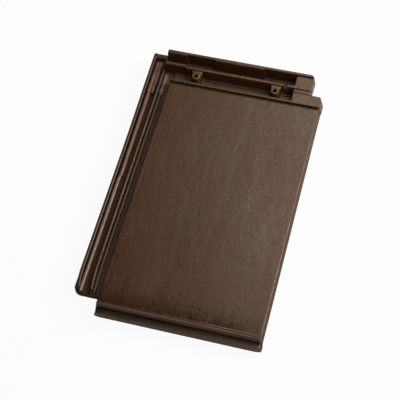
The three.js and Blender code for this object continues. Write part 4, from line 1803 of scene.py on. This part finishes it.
@dataclass(frozen=True)
class Layer:
    """One size of unevenness in the coat: waves per metre, and its share in each effect."""

    scale: float
    stretch: Place
    rough: float
    bump: float
    tone: float = 0.0
    crumble: float = 0.5

    def signal(self, nodes: Nodes, at: Signal) -> Signal:
        """Noise round zero, on coordinates scaled by the stretch."""
        drawn = nodes.add("ShaderNodeMapping", {}, {"Vector": at, "Scale": self.stretch})
        return nodes.noise(drawn, self.scale, roughness=self.crumble) - 0.5


@dataclass(frozen=True)
class PaintedPatch:
    """A stretch of the tile whose colour is darkened as painted shade or lightened as painted light.

    Each pair gives where the difference starts and where it is full, in metres: along the roof
    from one side and from the other, and over the height.
    """

    colour: Colour
    share: float
    start: Span
    stop: Span | None = None
    level: Span | None = None
    rough: float = 0.0
    squared: bool = False

    def mask(self, along: Signal, level: Signal) -> Signal:
        """Multiplies the shares along the roof and over the height.

        Args:
            along: place up the roof.
            level: height.

        Returns:
            The share of the patch.
        """
        made = along.clipped(*self.start)
        if self.squared:
            made = made * made
        if self.stop:
            made = made * along.clipped(*self.stop)
        if self.level:
            made = made * level.clipped(*self.level)
        return made


# colour of painted shade: behind and in front of the nose bead and low in the hollows
PAINTED_SHADE: Colour = (0.0170, 0.0036, 0.0000, 1.0)
# colour of a painted highlight on the bead's crest and of painted light on the head
PAINTED_LIGHT: Colour = (0.0700, 0.0330, 0.0150, 1.0)


@dataclass(frozen=True)
class Engobe:
    """Dark brown satin engobe over fired clay, with bare clay on the underside.

    The sprayed coat varies in long soft clouds and in two finer grains, all drawn out along the
    roof. Painted shade darkens it on both sides of the nose bead and low in the hollows, and a
    painted highlight and painted light make it paler on the bead's crest and on the head. A fine
    bump, small pits and pale flecks break up its sheen. Some of it has been sprayed past the
    edges onto the underside.
    """

    name: str = "engobed_clay"
    thick: Colour = (0.0270, 0.0092, 0.0010, 1.0)
    thin: Colour = (0.0380, 0.0134, 0.0022, 1.0)
    fleck: Colour = (0.1250, 0.0700, 0.0400, 1.0)
    bare: Colour = (0.2350, 0.1050, 0.0600, 1.0)
    gloss: Colour = (1.0, 0.80, 0.65, 1.0)
    specular: float = 0.53
    roughness: float = 0.36
    clouds: Layer = Layer(34.0, (1.0, 0.28, 1.0), rough=0.20, bump=6.0, tone=1.5)
    mottle: Layer = Layer(120.0, (1.0, 0.6, 1.0), rough=0.15, bump=2.2, tone=1.0)
    speckle: Layer = Layer(330.0, (1.0, 0.6, 1.0), rough=0.30, bump=1.6, tone=1.0, crumble=0.6)
    grain: Layer = Layer(1200.0, (1.0, 1.0, 1.0), rough=0.14, bump=0.5, crumble=0.6)
    # painted shade on the plate just behind the nose bead, with a smoother coat there
    shade_behind_bead: PaintedPatch = PaintedPatch(
        PAINTED_SHADE, 0.85, (-0.1714, -0.2228), (-0.2256, -0.2238), (0.0305, 0.0315), rough=-0.13, squared=True
    )
    # painted shade on the steep face in front of the nose bead
    shade_before_bead: PaintedPatch = PaintedPatch(PAINTED_SHADE, 0.9, (-0.2286, -0.2296), level=(0.0200, 0.0225))
    # painted highlight: paler colour along the crest of the nose bead
    crest: PaintedPatch = PaintedPatch(PAINTED_LIGHT, 0.8, (-0.2296, -0.2282), (-0.2244, -0.2274), (0.0315, 0.0330))
    # painted shade: darker colour low in the grooves and channels, where the coat is also rougher
    shaded_hollows: PaintedPatch = PaintedPatch(PAINTED_SHADE, 0.85, (-0.2230, -0.2190), level=(0.0235, 0.0190), rough=0.40)
    # painted light: paler colour over the head
    head: PaintedPatch = PaintedPatch(PAINTED_LIGHT, 0.3, (0.1780, 0.1840))
    even_tone: float = 0.5  # half-way between the thick coat and the thin one
    dot_detail: float = 1.0  # of the flecks and the pits
    fleck_scale: float = 900.0
    fleck_cut: Span = (0.70, 0.78)
    fleck_share: float = 0.4
    fleck_bump: float = 0.3
    pit_scale: float = 520.0
    pit_cut: Span = (0.28, 0.20)
    pit_bump: float = 0.8
    bump_strength: float = 0.6
    bump_height: float = 0.00015
    overspray: float = 1.2  # how ragged its border is
    overspray_scale: float = 60.0
    overspray_detail: float = 4.0
    downwards: float = 0.25  # which way a surface faces where bare clay starts
    under_cut: Span = (0.55, 0.95)
    under_rough: float = 0.38

    def material(self) -> bpy.types.Material:
        """Builds the material.

        Colour goes from thick to thin coat with the tone, the sum of the layers; patches of painted
        shade and painted light, flecks and bare clay are mixed over it in turn. Roughness and bump
        height are sums of the same.

        Returns:
            The material.
        """
        material = bpy.data.materials.new(self.name)
        nodes = cleared(material)
        at = nodes.add("ShaderNodeTexCoord", {}, {}, "Object")
        along, level = (nodes.add("ShaderNodeSeparateXYZ", {}, {0: at}, axis) for axis in (1, 2))
        layers = (self.clouds, self.mottle, self.speckle, self.grain)
        uneven = [(layer, layer.signal(nodes, at)) for layer in layers]
        tone = sum((signal * layer.tone for layer, signal in uneven if layer.tone), self.even_tone)
        coat = nodes.mix(tone.clipped(0.0, 1.0), self.thick, self.thin)
        under = self._underside(nodes, at)
        rough = sum((signal * layer.rough for layer, signal in uneven), self.roughness)
        rough = rough + under * self.under_rough
        # painted shade and painted highlights are mixed over the coat colour here
        for patch in (self.shade_behind_bead, self.shade_before_bead, self.crest, self.shaded_hollows, self.head):
            mask = patch.mask(along, level)
            coat = nodes.mix(mask * patch.share, coat, patch.colour)
            if patch.rough:
                rough = rough + mask * patch.rough
        flecks = nodes.noise(at, self.fleck_scale, self.dot_detail).clipped(*self.fleck_cut)
        pits = nodes.noise(at, self.pit_scale, self.dot_detail).clipped(*self.pit_cut)
        coat = nodes.mix(flecks * self.fleck_share, coat, self.fleck)
        height = sum((signal * layer.bump for layer, signal in uneven), flecks * self.fleck_bump)
        height = height - pits * self.pit_bump
        bump = nodes.add("ShaderNodeBump", {}, {
            "Strength": self.bump_strength, "Distance": self.bump_height, "Height": height,
        })
        nodes.end("ShaderNodeOutputMaterial", nodes.add("ShaderNodeBsdfPrincipled", {}, {
            "Base Color": nodes.mix(under, coat, self.bare), "Roughness": rough, "Normal": bump,
            "Specular IOR Level": self.specular, "Specular Tint": self.gloss,
        }))
        return material

    def _underside(self, nodes: Nodes, at: Signal) -> Signal:
        """Share of bare clay: full where the surface faces down, with a ragged border.

        Args:
            nodes: nodes of the material.
            at: object coordinates.

        Returns:
            The share.
        """
        normal = nodes.add("ShaderNodeNewGeometry", {}, {}, "Normal")
        upwards = nodes.add("ShaderNodeSeparateXYZ", {}, {0: normal}, 2)
        ragged = nodes.noise(at, self.overspray_scale, self.overspray_detail) - 0.5
        ragged = ragged * self.overspray
        return (self.downwards - upwards + ragged).clipped(*self.under_cut)


# ---------------------------------------------------------------- studio


class Lamp(Enum):
    """The soft lamps of the studio: height and heading in degrees, width in metres, brightness.

    Heading 0 is beyond the cover joint and 90 is beyond the head. Brightness is what the lamp's
    face looks like, where 1 is white.
    """

    SIDE = (32.0, 28.0, 0.95, 23.0)
    HIGH_SIDE = (50.0, 10.0, 0.9, 11.0)
    HIGH_FRONT = (50.0, -20.0, 0.9, 2.0)
    REAR = (53.0, 84.0, 1.1, 3.7)
    HIGH_REAR = (65.0, 78.0, 0.8, 2.3)
    ABOVE = (80.0, 260.0, 0.9, 3.0)
    FRONT = (14.0, -60.0, 0.9, 2.2)


def put(name: str, data: bpy.types.ID) -> bpy.types.Object:
    """Makes an object of a mesh, lamp or camera and puts it into the scene, unmoved.

    Args:
        name: name of the object.
        data: the mesh, lamp or camera.

    Returns:
        The object.
    """
    made = bpy.data.objects.new(name, data)
    bpy.context.scene.collection.objects.link(made)
    return made


def turned(right: Place, up: Place, back: Place, at: Place) -> Matrix:
    """Gives the matrix of something with those axes at that place; it looks away from its back.

    Args:
        right: its axis to the right.
        up: its axis upwards.
        back: its axis backwards.
        at: its place.

    Returns:
        The matrix.
    """
    made = np.eye(4)
    made[:3] = np.stack([right, up, back, at], axis=1)
    return Matrix(made.tolist())


@dataclass
class Studio:
    """Pale floor, soft lamps, dim surround and the camera.

    The camera's place is measured from the tile's own zero point.
    """

    zero: Place
    floor_size: float = 12.0
    floor_colour: Colour = (0.55, 0.55, 0.55, 1.0)
    surround: float = 0.05
    mirrored: float = 0.15
    white: float = 0.94
    lamp_distance: float = 2.6
    aim: Place = (0.0, 0.0, 0.03)
    camera_at: Place = (0.3982, -0.6377, 1.5067)
    camera_right: Place = (0.96619, 0.25346, -0.04721)
    camera_up: Place = (-0.19566, 0.84008, 0.50595)
    camera_back: Place = (0.16790, -0.47960, 0.86127)
    sensor: float = 36.0
    lens: float = 102.7
    seen_from: float = 0.05
    seen_to: float = 60.0

    def floor(self) -> None:
        """Makes the floor: a plain sheet, white to the camera but for the shadow on it."""
        half = self.floor_size / 2
        mesh = bpy.data.meshes.new("floor")
        corners = [(x * half, y * half, 0.0) for x, y in ((-1, -1), (1, -1), (1, 1), (-1, 1))]
        mesh.from_pydata(corners, [], [(0, 1, 2, 3)])
        material = bpy.data.materials.new("pale_floor")
        nodes = cleared(material)
        camera, glossy, through = (
            nodes.add("ShaderNodeLightPath", {}, {}, f"Is {kind} Ray")
            for kind in ("Camera", "Glossy", "Transmission")
        )
        seen = nodes.add("ShaderNodeMath", {"operation": "MAXIMUM"}, {0: camera, 1: glossy * self.mirrored})
        seen = nodes.add("ShaderNodeMath", {"operation": "MAXIMUM"}, {0: seen, 1: through})
        plain = nodes.add("ShaderNodeBsdfDiffuse", {}, {"Color": self.floor_colour})
        white = nodes.add("ShaderNodeEmission", {}, {"Color": WHITE, "Strength": 1.0})
        mixed = nodes.add("ShaderNodeMixShader", {}, {0: seen * self.white, 1: plain, 2: white})
        nodes.end("ShaderNodeOutputMaterial", mixed)
        mesh.materials.append(material)
        sheet = put("floor", mesh)

    def lamps(self) -> None:
        """Makes the lamps, all as far from the tile: power is brightness times pi times area."""
        for lamp in Lamp:
            height, heading, width, brightness = lamp.value
            up, turn = math.radians(height), math.radians(heading)
            away = np.array([math.cos(turn) * math.cos(up), math.sin(turn) * math.cos(up), math.sin(up)])
            data = bpy.data.lights.new(lamp.name.lower(), "AREA")
            data.shape, data.size = "SQUARE", width
            data.energy = brightness * math.pi * width ** 2
            right = np.cross((0.0, 0.0, 1.0), away)
            right /= np.linalg.norm(right)
            light = put(data.name, data)
            at = away * self.lamp_distance + self.aim
            light.matrix_world = turned(right, np.cross(away, right), away, at)

    def world(self) -> None:
        """Makes the dim plain surround, white to the camera."""
        world = bpy.data.worlds.new("surround")
        nodes = cleared(world)
        camera = nodes.add("ShaderNodeLightPath", {}, {}, "Is Camera Ray")
        strength = camera * (1.0 - self.surround) + self.surround
        sky = nodes.add("ShaderNodeBackground", {}, {"Color": WHITE, "Strength": strength})
        nodes.end("ShaderNodeOutputWorld", sky)
        bpy.context.scene.world = world

    def camera(self) -> None:
        """Makes the camera."""
        data = bpy.data.cameras.new("camera")
        data.sensor_width, data.lens = self.sensor, self.lens
        data.clip_start, data.clip_end = self.seen_from, self.seen_to
        camera = put("camera", data)
        at = np.add(self.zero, self.camera_at)
        camera.matrix_world = turned(self.camera_right, self.camera_up, self.camera_back, at)
        bpy.context.scene.camera = camera

    def build(self) -> None:
        """Makes the whole studio."""
        self.camera()
        self.world()
        self.lamps()
        self.floor()
        bpy.context.scene.view_settings.view_transform = "Standard"


def main() -> None:
    """Builds the studio and the tile, and notes both sizes."""
    logging.basicConfig(level=logging.INFO, format="%(message)s")
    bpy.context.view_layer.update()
    tile = RoofTile()
    corner = np.array(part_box("roof_tile")[0])
    lowest = np.array([tile.lock.outer - tile.lock.flare, tile.nose.front, tile.lowest])
    zero = corner - lowest * MILLIMETRE
    Studio(zero=tuple(zero)).build()
    mesh = tile.mesh("tile_body", zero)
    mesh.materials.append(Engobe().material())
    body = put("tile_body", mesh)
    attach(body, "root")
    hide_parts("roof_tile")


if __name__ == "__main__":
    main()
